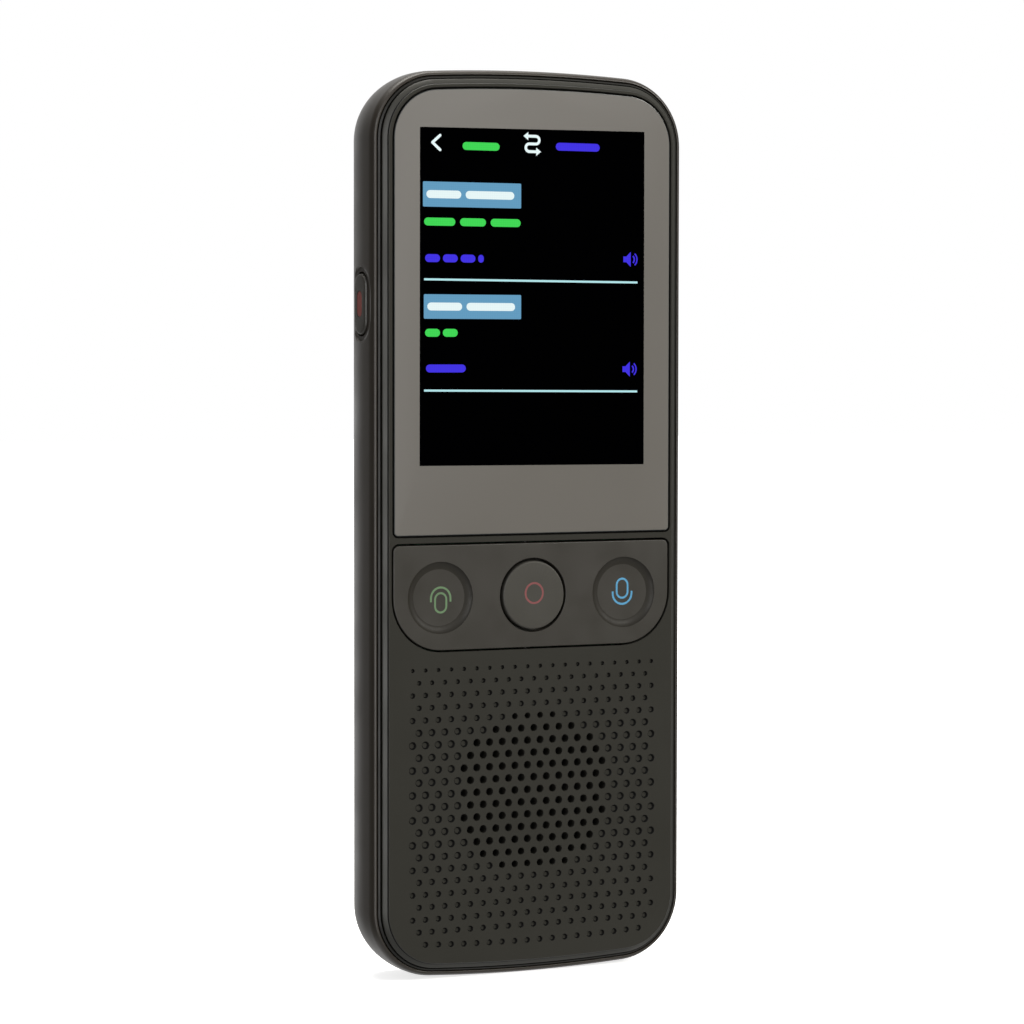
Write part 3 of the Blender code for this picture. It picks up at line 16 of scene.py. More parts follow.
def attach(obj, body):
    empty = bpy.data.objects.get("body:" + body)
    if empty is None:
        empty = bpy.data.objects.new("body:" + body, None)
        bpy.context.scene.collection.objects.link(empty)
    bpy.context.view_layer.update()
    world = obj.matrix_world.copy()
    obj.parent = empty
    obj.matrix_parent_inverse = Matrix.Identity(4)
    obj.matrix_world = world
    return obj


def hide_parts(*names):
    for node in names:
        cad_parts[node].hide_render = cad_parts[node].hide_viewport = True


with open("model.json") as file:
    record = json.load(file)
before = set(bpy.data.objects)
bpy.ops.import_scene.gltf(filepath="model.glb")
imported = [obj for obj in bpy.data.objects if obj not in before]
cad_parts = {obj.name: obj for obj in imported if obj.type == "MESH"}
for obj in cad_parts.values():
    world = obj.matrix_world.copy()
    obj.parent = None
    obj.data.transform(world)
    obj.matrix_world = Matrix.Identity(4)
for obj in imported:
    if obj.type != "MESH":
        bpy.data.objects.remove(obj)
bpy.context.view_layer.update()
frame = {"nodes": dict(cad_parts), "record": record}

LOG = logging.getLogger("translator")

MM = 0.001  # all sizes below are in millimetres
FACE_TO_MIDDLE = 6.125  # from the front face back to Y zero
SHARP = math.radians(32)  # edges that turn more than this stay crisp
LEAD = 100  # weight with which the largest faces lead the shading round them
WELD = 0.002  # corners closer than this become one
EDGE_STEPS = 6  # steps of a rounded edge
INSIDE = 1  # the triangulation keeps only what lies inside its outlines
FLAT_SNAP, PATCH_SNAP = 1e-5, 1e-4  # how near two points of a triangulation count as one
WAVES = 10 / math.pi  # how often a wave texture of scale 1 repeats in a length of 1
MIX_FIRST, MIX_SECOND, MIX_RESULT = 6, 7, 2  # the colour sockets of a Mix node

WHITE = (1.0, 1.0, 1.0, 1.0)

Point = tuple[float, float]
Outline = list[Point]
Levels = Sequence[tuple[Outline, float]]
Socket = bpy.types.NodeSocket
Tree = bpy.types.NodeTree


class Body(Enum):
    """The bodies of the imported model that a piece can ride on."""

    DEVICE = "device"
    ROCKER = "rocker"
    TALK = "talk_button"
    POWER = "power_button"


class Facing(Enum):
    """The plane that an outline is drawn on, and the way in which it then runs."""

    FRONT = "front"
    LEFT = "left"
    BELOW = "below"

    def place(self, first: float, second: float, level: float) -> Vector:
        """Turns two coordinates and a level into a point of the row frame.

        Args:
            first: Across on the front and bottom, depth on the left wall.
            second: Height on the front and left wall, depth on the bottom.
            level: Depth on the front, across on the left wall, height on the bottom.

        Returns:
            The point in metres.
        """
        if self is Facing.FRONT:
            across, deep, up = first, level, second
        elif self is Facing.LEFT:
            across, deep, up = level, first, second
        else:
            across, deep, up = first, second, level
        return Vector((across, deep - FACE_TO_MIDDLE, up)) * MM


# Outlines


def arc(centre: Point, radius: float, start: float, stop: float, steps: int) -> Outline:
    """Points on a circle between two angles in degrees.

    Args:
        centre: The circle's centre.
        radius: Its radius.
        start: Angle of the first point.
        stop: Angle of the last point.
        steps: How many equal steps lie between them.

    Returns:
        The points, both ends included.
    """
    angles = [math.radians(start + (stop - start) * i / steps) for i in range(steps + 1)]
    return [(centre[0] + radius * math.cos(a), centre[1] + radius * math.sin(a)) for a in angles]


def circle(centre: Point, radius: float, sides: int) -> Outline:
    """A round outline of equal sides."""
    return arc(centre, radius, 0, 360, sides)[:-1]


def four_corners(
    left: float, right: float, low: float, high: float, radii: Sequence[float], steps: int = 16
) -> Outline:
    """A rectangle with rounded corners.

    Args:
        left: Left edge.
        right: Right edge.
        low: Lower edge.
        high: Upper edge.
        radii: Corner radii from the upper right one round to the left.
        steps: Steps in each corner.

    Returns:
        The outline.
    """
    a, b, c, d = radii
    return (
        arc((right - a, high - a), a, 0, 90, steps)
        + arc((left + b, high - b), b, 90, 180, steps)
        + arc((left + c, low + c), c, 180, 270, steps)
        + arc((right - d, low + d), d, 270, 360, steps)
    )


def pill(centre: Point, wide: float, high: float, steps: int = 20) -> Outline:
    """A slot with round ends.

    Args:
        centre: The slot's centre.
        wide: Size along the first axis.
        high: Size along the second axis.
        steps: Steps in each round end.

    Returns:
        The outline.
    """
    radius = min(wide, high) / 2
    x, y = centre
    if high > wide:
        along = high / 2 - radius
        return arc((x, y + along), radius, 0, 180, steps) + arc((x, y - along), radius, 180, 360, steps)
    along = wide / 2 - radius
    return arc((x + along, y), radius, -90, 90, steps) + arc((x - along, y), radius, 90, 270, steps)


def stroke(path: Sequence[Point], width: float) -> list[Outline]:
    """A line of even width along a path, as one round-ended outline for each stretch.

    Args:
        path: The points that the line follows.
        width: The line's width.

    Returns:
        Overlapping outlines that cover the line.
    """
    half, steps = width / 2, 6
    parts = []
    for (x1, y1), (x2, y2) in zip(path, path[1:]):
        turn = math.degrees(math.atan2(y2 - y1, x2 - x1))
        far = arc((x2, y2), half, turn - 90, turn + 90, steps)
        parts.append(far + arc((x1, y1), half, turn + 90, turn + 270, steps))
    return parts


def quarter(steps: int) -> list[tuple[float, float]]:
    """Sine and cosine at even steps from 0 to 90 degrees."""
    turns = [math.radians(90 * i / steps) for i in range(steps + 1)]
    return [(math.sin(turn), math.cos(turn)) for turn in turns]


def band(outer: Outline, inner: Outline) -> Outline:
    """One outline that runs along an outer path and back along an inner one."""
    return outer + inner[::-1]


# Form of the body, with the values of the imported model


@dataclass
class Form:
    """The outlines that several pieces share.

    A reach is how far outside the edge of the flat face an outline lies.
    """

    face_half: float = 23.45
    face_top: float = 130.55
    height: float = 132.5
    thickness: float = 12.5
    swell: float = 1.95
    corner: float = 8.05
    bow: float = 260.0
    glass_rim: float = 0.85
    glass_floor: float = 64.88
    glass_aside: float = 0.12
    glass_corner: float = 0.6
    glass_corner_steps: int = 6
    key_rim: float = 0.85
    key_top: float = 63.49
    key_bottom: float = 48.19
    key_top_corner: float = 0.9
    key_low_corner: float = 7.7
    dish_spread: float = 15.1
    corner_steps: int = 22
    bow_steps: int = 20

    @property
    def key_middle(self) -> float:
        """Height of the keys' centres."""
        return (self.key_top + self.key_bottom) / 2

    def crown(self, reach: float) -> Outline:
        """The bowed top edge with its corners, moved outwards by a reach.

        Args:
            reach: How far outside the face's edge it lies.

        Returns:
            Points from the right end to the left end.
        """
        corner, bow = self.corner + reach, self.bow + reach
        aside = self.face_half - self.corner
        low = self.face_top - self.bow
        rise = low + math.sqrt((bow - corner) ** 2 - aside**2)
        lean = math.degrees(math.asin(aside / (bow - corner)))
        return (
            arc((aside, rise), corner, 0, 90 - lean, self.corner_steps)
            + arc((0, low), bow, 90 - lean, 90 + lean, self.bow_steps)[1:-1]
            + arc((-aside, rise), corner, 90 + lean, 180, self.corner_steps)
        )

    def outline(self, reach: float, stops: Sequence[float] = ()) -> Outline:
        """The whole body's outline, moved outwards by a reach.

        Args:
            reach: How far outside the face's edge it lies.
            stops: Heights of extra points on the left wall, from high to low.

        Returns:
            The outline from the upper right corner round by the left.
        """
        top = self.crown(reach)
        left = [(-self.face_half - reach, height) for height in stops]
        return top + left + [(-x, self.height - z) for x, z in top]

    def glass(self, reach: float) -> Outline:
        """The cover glass's outline, moved outwards by a reach."""
        half = self.face_half - self.glass_rim + reach
        corner, floor, steps = self.glass_corner + reach, self.glass_floor - reach, self.glass_corner_steps
        outline = (
            self.crown(reach - self.glass_rim)
            + arc((corner - half, floor + corner), corner, 180, 270, steps)
            + arc((half - corner, floor + corner), corner, 270, 360, steps)
        )
        return [(x + self.glass_aside, z) for x, z in outline]

    def key(self, reach: float) -> Outline:
        """The key plate's outline, moved outwards by a reach."""
        half = self.face_half - self.key_rim + reach
        top, low = self.key_top_corner + reach, self.key_low_corner + reach
        return four_corners(-half, half, self.key_bottom - reach, self.key_top + reach, (top, top, low, low))


# Mesh making


class Maker:
    """Gathers the faces of one piece and hands it over as a finished object."""

    def __init__(self) -> None:
        """Starts with no faces."""
        self.mesh = bmesh.new()

    def rings(
        self, levels: Levels, facing: Facing = Facing.FRONT, tone: int = 0, closed: bool = False
    ) -> None:
        """Joins outlines of equal count with bands of faces.

        Args:
            levels: Each outline with its level.
            facing: The plane that the outlines are drawn on.
            tone: Number of the finish that the bands take.
            closed: Whether the last outline joins the first.
        """
        rows = [[self.mesh.verts.new(facing.place(u, v, level)) for u, v in outline] for outline, level in levels]
        pairs = list(zip(rows, rows[1:]))
        if closed:
            pairs.append((rows[-1], rows[0]))
        for near, far in pairs:
            for i in range(len(near)):
                j = (i + 1) % len(near)
                self.mesh.faces.new((near[i], near[j], far[j], far[i])).material_index = tone

    def lid(self, outline: Outline, level: float, facing: Facing = Facing.FRONT) -> None:
        """Closes an outline with one face."""
        self.mesh.faces.new([self.mesh.verts.new(facing.place(u, v, level)) for u, v in outline])

    def sheet(
        self,
        border: Outline,
        level: float,
        holes: Sequence[Outline] = (),
        inlays: Sequence[tuple[Outline, int]] = (),
        facing: Facing = Facing.FRONT,
    ) -> None:
        """Fills a flat outline round its holes, with inlays that take finishes of their own.

        Args:
            border: The outer outline.
            level: The plane's level.
            holes: Outlines that stay open.
            inlays: Outlines inside it, each with the number of its finish.
            facing: The plane that the outlines are drawn on.
        """
        points: list[Vector] = []
        faces: list[list[int]] = []
        for loop in [border, *holes, *(outline for outline, _ in inlays)]:
            turn = sum(a[0] * b[1] - b[0] * a[1] for a, b in zip(loop, [*loop[1:], loop[0]]))
            faces.append(list(range(len(points), len(points) + len(loop))))
            points.extend(Vector(point) for point in (loop if turn > 0 else reversed(loop)))
        flat, _, triangles, _, _, origins = delaunay_2d_cdt(points, [], faces, INSIDE, FLAT_SNAP)
        corners = [self.mesh.verts.new(facing.place(point[0], point[1], level)) for point in flat]
        first_inlay = 1 + len(holes)
        for triangle, origin in zip(triangles, origins):
            if 0 not in origin or any(0 < number < first_inlay for number in origin):
                continue
            face = self.mesh.faces.new([corners[i] for i in triangle])
            inlay = max(origin)
            face.material_index = inlays[inlay - first_inlay][1] if inlay >= first_inlay else 0

    def turned(
        self, centre: Point, profile: Sequence[Point], sides: int, tone: int = 0, closed: bool = False
    ) -> None:
        """Turns a profile about an axis that stands on the front.

        Args:
            centre: Where the axis meets the front.
            profile: Radius and level of each ring.
            sides: Sides of each ring.
            tone: Number of the finish that the faces take.
            closed: Whether the last ring joins the first.
        """
        levels = [(circle(centre, radius, sides), level) for radius, level in profile]
        self.rings(levels, tone=tone, closed=closed)

    def block(self, levels: Levels, facing: Facing = Facing.FRONT) -> None:
        """A closed block through outlines at their levels."""
        self.lid(*levels[0], facing)
        self.rings(levels, facing)
        self.lid(*levels[-1], facing)

    def prism(self, outline: Outline, near: float, far: float, facing: Facing = Facing.FRONT) -> None:
        """A closed block, one outline run from one level to another."""
        self.block([(outline, near), (outline, far)], facing)

    def build(self, name: str) -> bpy.types.Object:
        """Welds the faces and makes an object of them.

        Args:
            name: The piece's name.

        Returns:
            The object, with its faces turned outwards.
        """
        bmesh.ops.remove_doubles(self.mesh, verts=self.mesh.verts, dist=WELD * MM)
        bmesh.ops.recalc_face_normals(self.mesh, faces=self.mesh.faces)
        data = bpy.data.meshes.new(name)
        self.mesh.to_mesh(data)
        self.mesh.free()
        piece = bpy.data.objects.new(name, data)
        bpy.context.scene.collection.objects.link(piece)
        return piece


def apply_modifiers(piece: bpy.types.Object) -> None:
    """Keeps what an object's modifiers make of it as its mesh."""
    bpy.context.view_layer.update()
    shape = piece.evaluated_get(bpy.context.evaluated_depsgraph_get())
    data = bpy.data.meshes.new_from_object(shape)
    piece.modifiers.clear()
    old, piece.data = piece.data, data
    bpy.data.meshes.remove(old)
    data.name = piece.name


def carve(piece: bpy.types.Object, levels: Levels, facing: Facing) -> None:
    """Cuts a closed block out of an object.

    Args:
        piece: The object that is cut.
        levels: The block's outlines with their levels.
        facing: The plane that the outlines are drawn on.
    """
    maker = Maker()
    maker.block(levels, facing)
    cutter = maker.build("cutter")
    modifier = piece.modifiers.new("carve", "BOOLEAN")
    modifier.operation = "DIFFERENCE"
    modifier.solver = "EXACT"
    modifier.object = cutter
    apply_modifiers(piece)
    bpy.data.objects.remove(cutter)


def settle_normals(piece: bpy.types.Object) -> None:
    """Lets the large faces lead the shading, so flats stay flat up to their small rounded edges."""
    modifier = piece.modifiers.new("settle", "WEIGHTED_NORMAL")
    modifier.keep_sharp = True
    modifier.weight = LEAD
    apply_modifiers(piece)


# Colours and nodes


def linear(code: str) -> tuple[float, float, float, float]:
    """Turns an sRGB hex colour into linear values.

    Args:
        code: Six hex digits, with or without a leading hash.

    Returns:
        Red, green, blue and an opaque alpha.
    """
    digits = code.lstrip("#")
    parts = [int(digits[i : i + 2], 16) / 255 for i in (0, 2, 4)]
    red, green, blue = (p / 12.92 if p <= 0.04045 else ((p + 0.055) / 1.055) ** 2.4 for p in parts)
    return red, green, blue, 1.0


def per_metre(spacing: float) -> float:
    """The texture scale that repeats a pattern once in a spacing."""
    return 1 / (spacing * MM)


def add_node(
    tree: Tree,
    kind: str,
    values: Mapping[Any, Any] | None = None,
    links: Mapping[Any, Socket] | None = None,
    **settings: Any,
) -> bpy.types.Node:
    """Adds one shader node with its settings, its socket values and its links.

    Args:
        tree: The node tree.
        kind: The node's kind, without its prefix.
        values: Values of its inputs, by name or number.
        links: Outputs that feed its inputs, by name or number.
        **settings: Its own settings.

    Returns:
        The new node.
    """
    node = tree.nodes.new("ShaderNode" + kind)
    for key, value in settings.items():
        setattr(node, key, value)
    for key, value in (values or {}).items():
        node.inputs[key].default_value = value
    for key, source in (links or {}).items():
        tree.links.new(source, node.inputs[key])
    return node


def blend(tree: Tree, share: Socket, first: str, second: str) -> Socket:
    """Mixes two hex colours by a share from 0, the first, to 1."""
    colours = {MIX_FIRST: linear(first), MIX_SECOND: linear(second)}
    return add_node(tree, "Mix", colours, {0: share}, data_type="RGBA").outputs[MIX_RESULT]


def maths(tree: Tree, operation: str, *terms: Socket | float) -> Socket:
    """Works out one operation.

    Args:
        tree: The node tree.
        operation: The operation's name.
        *terms: Outputs and plain numbers, in the order of the node's inputs.

    Returns:
        The result.
    """
    numbers = {i: term for i, term in enumerate(terms) if isinstance(term, float)}
    outputs = {i: term for i, term in enumerate(terms) if not isinstance(term, float)}
    return add_node(tree, "Math", numbers, outputs, operation=operation).outputs[0]


def pattern(
    tree: Tree, kind: str, place: Socket, spacing: float, values: Mapping[str, float] | None = None, **settings: Any
) -> Socket:
    """Adds a texture that repeats about once in a spacing.

    Args:
        tree: The node tree.
        kind: Noise, Voronoi or Wave.
        place: The place on the piece, in metres.
        spacing: The spacing.
        values: Its other values, by name.
        **settings: Its own settings.

    Returns:
        Its grey output.
    """
    values = {"Scale": per_metre(spacing), **(values or {})}
    node = add_node(tree, "Tex" + kind, values, {"Vector": place}, **settings)
    return node.outputs["Distance" if kind == "Voronoi" else "Fac"]


@dataclass(frozen=True)
class Finish:
    """What every finish has: a name, a main colour and a second one, how rough it is, and a fine pattern.

    The second colour and the change of roughness follow a soft cloud, so no surface is one flat tone. The pattern
    repeats in detail_mm and stands relief_mm high.
    """

    name: str
    colour: str
    second: str
    roughness: float
    rough_change: float = 0.06
    cloud_mm: float = 9.0
    detail_mm: float = 0.3
    relief_mm: float = 0.0
    ior: float = 1.5
    metallic: float = 0.0
    specular: float = 0.5
    coat: float = 0.0
    coat_roughness: float = 0.03

    def height(self, tree: Tree, place: Socket) -> Socket | None:
        """The pattern that raises the surface, or nothing."""
        return None

    def colour_of(self, tree: Tree, place: Socket) -> Socket:
        """The colour over the surface, from a soft cloud."""
        cloud = pattern(tree, "Noise", place, self.cloud_mm, {"Detail": 3.0, "Roughness": 0.6})
        return blend(tree, cloud, self.colour, self.second)

    def roughness_of(self, tree: Tree, place: Socket) -> Socket:
        """How rough the surface is, from a cloud a little finer than the colour's.

        Args:
            tree: The material's nodes.
            place: The place on the piece, in metres.

        Returns:
            The roughness output.
        """
        finer, darkest, lightest = 0.6, 0.3, 0.7
        cloud = pattern(tree, "Noise", place, self.cloud_mm * finer, {"Detail": 2.0})
        limits = {
            "From Min": darkest,
            "From Max": lightest,
            "To Min": max(0.0, self.roughness - self.rough_change),
            "To Max": min(1.0, self.roughness + self.rough_change),
        }
        return add_node(tree, "MapRange", limits, {"Value": cloud}).outputs["Result"]

    def material(self) -> bpy.types.Material:
        """Builds the material, once for each name.

        Returns:
            The material.
        """
        known = bpy.data.materials.get(self.name)
        if known:
            return known
        material = bpy.data.materials.new(self.name)
        material.use_nodes = True
        tree = material.node_tree
        shader = tree.nodes["Principled BSDF"]
        constants = {
            "Metallic": self.metallic,
            "Specular IOR Level": self.specular,
            "Coat Weight": self.coat,
            "Coat Roughness": self.coat_roughness,
        }
        for socket, value in constants.items():
            shader.inputs[socket].default_value = value
        if not self.metallic:
            shader.inputs["IOR"].default_value = self.ior
        place = add_node(tree, "TexCoord").outputs["Object"]
        tree.links.new(self.colour_of(tree, place), shader.inputs["Base Color"])
        tree.links.new(self.roughness_of(tree, place), shader.inputs["Roughness"])
        raised = self.height(tree, place)
        if raised:
            bump = add_node(tree, "Bump", {"Strength": 1.0, "Distance": self.relief_mm * MM}, {"Height": raised})
            tree.links.new(bump.outputs["Normal"], shader.inputs["Normal"])
        material.diffuse_color = linear(self.colour)
        return material


@dataclass(frozen=True)
class SparkErodedPlastic(Finish):
    """Injection-moulded plastic from a spark-eroded tool, whose fine even pits break the shine into a soft haze."""

    relief_mm: float = 0.006

    def height(self, tree: Tree, place: Socket) -> Socket:
        """Real pits lie about 0.1 mm apart, finer than a pixel, so they are drawn three times as coarse."""
        return pattern(tree, "Noise", place, self.detail_mm, {"Detail": 2.0, "Roughness": 0.7})


@dataclass(frozen=True)
class PrintedGlass(Finish):
    """Toughened soda-lime glass, screen-printed on its back: a flat matt colour under a hard, even shine."""

    detail_mm: float = 0.35
    dot_share: float = 0.35

    def colour_of(self, tree: Tree, place: Socket) -> Socket:
        """The ink's mesh marks are near 0.06 mm, too fine to show, so they are drawn at 0.35 mm and very faint.

        Args:
            tree: The material's nodes.
            place: The place on the piece, in metres.

        Returns:
            The colour output.
        """
        dots = pattern(tree, "Voronoi", place, self.detail_mm, {"Randomness": 0.35})
        cloud = pattern(tree, "Noise", place, self.cloud_mm, {"Detail": 1.0})
        mixed = maths(tree, "MULTIPLY_ADD", dots, self.dot_share, cloud)
        return blend(tree, mixed, self.colour, self.second)


@dataclass(frozen=True)
class LitPixels(PrintedGlass):
    """A lit part of the display behind glass. The cells of the panel make its light a little uneven."""

    specular: float = 0.01
    light: str = "#FFFFFF"
    dim: str = "#E0E0E0"
    cell_mm: float = 0.3
    strength: float = 1.0

    def material(self) -> bpy.types.Material:
        """Builds the glass and lights it from nodes.

        Returns:
            The material.
        """
        material = super().material()
        tree = material.node_tree
        shader = tree.nodes["Principled BSDF"]
        place = add_node(tree, "TexCoord").outputs["Object"]
        cells = pattern(tree, "Voronoi", place, self.cell_mm, {"Randomness": 0.0})
        tree.links.new(blend(tree, cells, self.light, self.dim), shader.inputs["Emission Color"])
        shader.inputs["Emission Strength"].default_value = self.strength
        return material


@dataclass(frozen=True)
class RolledMetal(Finish):
    """Sheet metal, rolled and plated. Rolling leaves fine lines along one way that draw the shine out."""

    metallic: float = 1.0
    detail_mm: float = 0.25
    relief_mm: float = 0.004
    length_share: float = 30.0

    def height(self, tree: Tree, place: Socket) -> Socket:
        """The rolled lines are some 0.03 mm wide, so they are drawn eight times as coarse."""
        across, along = per_metre(self.detail_mm), per_metre(self.detail_mm * self.length_share)
        stretched = add_node(tree, "Mapping", {"Scale": (across, across, along)}, {"Vector": place}).outputs["Vector"]
        return add_node(tree, "TexNoise", {"Scale": 1.0, "Detail": 2.0}, {"Vector": stretched}).outputs["Fac"]


@dataclass(frozen=True)
class CrumpledFoil(Finish):
    """Aluminium foil laminate, drawn over a pouch cell, with soft creases from the pressing."""

    metallic: float = 1.0
    detail_mm: float = 6.0
    relief_mm: float = 0.16

    def height(self, tree: Tree, place: Socket) -> Socket:
        """Creases some 6 mm apart with finer ones between them."""
        return pattern(tree, "Noise", place, self.detail_mm, {"Detail": 5.0, "Roughness": 0.55, "Distortion": 0.8})


@dataclass(frozen=True)
class CastElastomer(Finish):
    """Pressed silicone or cell rubber. The fine skin scatters light and has hardly any shine."""

    detail_mm: float = 0.5
    relief_mm: float = 0.03

    def height(self, tree: Tree, place: Socket) -> Socket:
        """Cells about 0.2 mm across, drawn at about twice that so that they show."""
        return pattern(tree, "Voronoi", place, self.detail_mm)


@dataclass(frozen=True)
class PlainWeave(Finish):
    """Woven polyester mesh. Its threads cross over and under each other and leave small square openings.

    The real thread pitch is near 0.1 mm, so the weave is drawn at three times that.
    """

    relief_mm: float = 0.05

    def height(self, tree: Tree, place: Socket) -> Socket:
        """The crossing threads, which stand up from the openings."""
        runs = [pattern(tree, "Wave", place, self.detail_mm * WAVES, bands_direction=way) for way in ("X", "Z")]
        return maths(tree, "MAXIMUM", *runs)

    def colour_of(self, tree: Tree, place: Socket) -> Socket:
        """Threads in the main colour over openings in the second one."""
        return blend(tree, self.height(tree, place), self.second, self.colour)


@dataclass(frozen=True)
class EtchedBoard(Finish):
    """Glass-fibre board with etched copper under green solder mask. The tracks show as paler, raised lines."""

    detail_mm: float = 3.6
    relief_mm: float = 0.035
    tracks: float = 9.0
    gap_share: float = 0.7

    def height(self, tree: Tree, place: Socket) -> Socket:
        """Tracks 0.12 mm wide at a pitch of 0.4 mm in blocks of 3.6 mm, which turn at right angles as routed ones do.

        Args:
            tree: The material's nodes.
            place: The place on the piece, in metres.

        Returns:
            1 on a track and 0 beside it.
        """
        blocks = pattern(tree, "Voronoi", place, self.detail_mm, {"Randomness": 0.9}, distance="CHEBYCHEV")
        lines = maths(tree, "FRACT", maths(tree, "MULTIPLY", blocks, self.tracks))
        return maths(tree, "GREATER_THAN", lines, self.gap_share)

    def colour_of(self, tree: Tree, place: Socket) -> Socket:
        """The mask is paler over the copper."""
        return blend(tree, self.height(tree, place), self.colour, self.second)


@dataclass(frozen=True)
class StripedFilm(Finish):
    """Polyimide film over fine copper lines, glossy and amber, with the lines side by side under it."""

    detail_mm: float = 0.6

    def colour_of(self, tree: Tree, place: Socket) -> Socket:
        """Copper lines at a pitch of 0.6 mm. Real ones are about half as far apart."""
        lines = pattern(tree, "Wave", place, self.detail_mm * WAVES, bands_direction="X")
        return blend(tree, lines, self.colour, self.second)


@dataclass(frozen=True)
class PressedPaper(Finish):
    """Long-fibre paper pulp, pressed and treated, as in a speaker cone. The fibres lie every way."""

    detail_mm: float = 0.5
    relief_mm: float = 0.03

    def height(self, tree: Tree, place: Socket) -> Socket:
        """Fibres 0.03 mm thick show only as tangles half a millimetre wide."""
        return pattern(tree, "Noise", place, self.detail_mm, {"Detail": 4.0, "Distortion": 1.5})


class Finishes:
    """Every finish of the device, named for its real material."""

    # Moulded PC-ABS with a soft-touch spray: nearly black and matt, with a warm cast.
    FRONT = SparkErodedPlastic("soft_touch_pc_abs", "#383732", "#3B3A35", 0.43, cloud_mm=14.0, specular=0.07)
    # The spray runs thinner over the bevel and the step's edge, which hands polish: the same black with more shine.
    BEVEL = SparkErodedPlastic("rubbed_soft_touch_pc_abs", "#282721", "#2B2A23", 0.42, cloud_mm=14.0, specular=0.3)
    # Walls of the blind holes and of the face's step: dead matt, and near black. The near-black colour is painted
    # shade, standing in for the shade in these hollows and on the step.
    PAINTED_SHADE_WALL = SparkErodedPlastic("painted_shade_hole_wall", "#060605", "#090908", 0.7, cloud_mm=3.0, specular=0.1)
    # The same plastic as the face without the spray, from a finer tool: black with a satin shine at grazing angles.
    REAR = SparkErodedPlastic(
        "satin_pc_abs", "#261F15", "#292218", 0.38, cloud_mm=18.0, specular=0.35, relief_mm=0.003
    )
    # Moulded frame with dark satin lacquer, a little glossier than its neighbours.
    TRIM = SparkErodedPlastic(
        "lacquered_frame", "#1E1D19", "#21201C", 0.42, cloud_mm=6.0, specular=0.2, relief_mm=0.002
    )
    # Moulded ABS keys, polished by fingers: slightly paler and smoother than the face.
    KEY = SparkErodedPlastic(
        "moulded_abs_keys", "#2F2D25", "#332F29", 0.44, cloud_mm=10.0, specular=0.4, relief_mm=0.004
    )
    # The rings that lead down to the two dished keys are left matt from the tool. Their darker colour is painted
    # shade, standing in for the shade on the dish walls.
    PAINTED_SHADE_RING = SparkErodedPlastic("painted_shade_dish_ring", "#26231D", "#29261F", 0.5, cloud_mm=3.0, specular=0.2)
    BUTTON = SparkErodedPlastic(
        "moulded_abs_button", "#45433D", "#484640", 0.47, cloud_mm=7.0, specular=0.26, relief_mm=0.004
    )
    # Pigmented ABS, moulded into the side button: a dull brick red.
    RED = SparkErodedPlastic("red_abs", "#7E2A1C", "#6C2218", 0.5, cloud_mm=2.0, relief_mm=0.004)
    # Warm grey ink under toughened glass.
    BORDER = PrintedGlass("printed_glass", "#65615B", "#68645D", 0.5, coat=1.0, cloud_mm=30.0)
    GLASS_EDGE = PrintedGlass("ground_glass_edge", "#1B1E1D", "#262A28", 0.45, coat=0.4, cloud_mm=3.0)
    # A liquid crystal panel that shows black, laminated to the same glass.
    BLACK = PrintedGlass("display_black", "#010101", "#010102", 0.35, specular=0.0, cloud_mm=12.0)
    WHITE = LitPixels("pixels_white", "#050505", "#060606", 0.4, light="#F4FFFF", dim="#DCEFF0")
    GREEN = LitPixels("pixels_green", "#020402", "#030503", 0.4, light="#4BE860", dim="#38C84C")
    BLUE = LitPixels("pixels_blue", "#020205", "#030306", 0.4, light="#4A3CF0", dim="#3A2CD8")
    CYAN = LitPixels("pixels_pale_cyan", "#050606", "#060707", 0.4, light="#C4F0F4", dim="#A8DCE2")
    LABEL = LitPixels("pixels_label_blue", "#040506", "#050607", 0.4, light="#6CA4C6", dim="#5C94B8")
    # Pad-printed epoxy ink on the keys, matt, with light from behind that is off.
    GREEN_INK = SparkErodedPlastic("green_ink", "#6E8F66", "#5F8058", 0.5, cloud_mm=0.8)
    BLUE_INK = SparkErodedPlastic("blue_ink", "#5FB0DC", "#509FCC", 0.5, cloud_mm=0.8)
    RED_INK = SparkErodedPlastic("red_ink", "#8C4A4A", "#7C4040", 0.5, cloud_mm=0.8)
    # Black panel glass and its clear light guide inside the device.
    PANEL = PrintedGlass("panel_glass", "#08080A", "#0C0C0E", 0.15, coat=0.6, cloud_mm=8.0)
    GUIDE = PrintedGlass("light_guide_acrylic", "#D9D9D4", "#CFCFCA", 0.3, ior=1.49, cloud_mm=5.0)
    # Tinned steel pressings, and the nickel-plated mouth of the charging port.
    STEEL = RolledMetal("tinned_steel", "#C0BFBC", "#B2B1AE", 0.32)
    PORT = RolledMetal("nickel_plated_steel", "#B9B7B2", "#ABA9A4", 0.24, detail_mm=0.2)
    NYLON = SparkErodedPlastic("glass_filled_nylon", "#232325", "#2B2B2D", 0.55, cloud_mm=1.2, ior=1.53)
    CHIP = SparkErodedPlastic("moulded_epoxy", "#1C1C1E", "#232326", 0.6, cloud_mm=2.0, ior=1.55)
    BOARD = EtchedBoard("solder_mask_board", "#124A2A", "#2A7444", 0.35, coat=0.5, coat_roughness=0.12)
    FLEX = StripedFilm("polyimide_film", "#A8611F", "#C9823A", 0.25, ior=1.7)
    SILICONE = CastElastomer("pressed_silicone", "#5C5C5B", "#666665", 0.6, ior=1.41, cloud_mm=4.0)
    FOAM = CastElastomer("cell_rubber", "#232323", "#2C2C2C", 0.85, ior=1.45, detail_mm=0.7, relief_mm=0.12)
    FOIL = CrumpledFoil("pouch_foil", "#BFC1C5", "#B0B2B6", 0.34)
    WIRE = CastElastomer("silicone_insulation", "#A3241E", "#8F1F1A", 0.42, ior=1.43, cloud_mm=2.0)
    MESH = PlainWeave("woven_dust_mesh", "#1B1B1B", "#030303", 0.8)
    CONE = PressedPaper("pressed_paper_cone", "#29292B", "#323234", 0.8, cloud_mm=3.0)

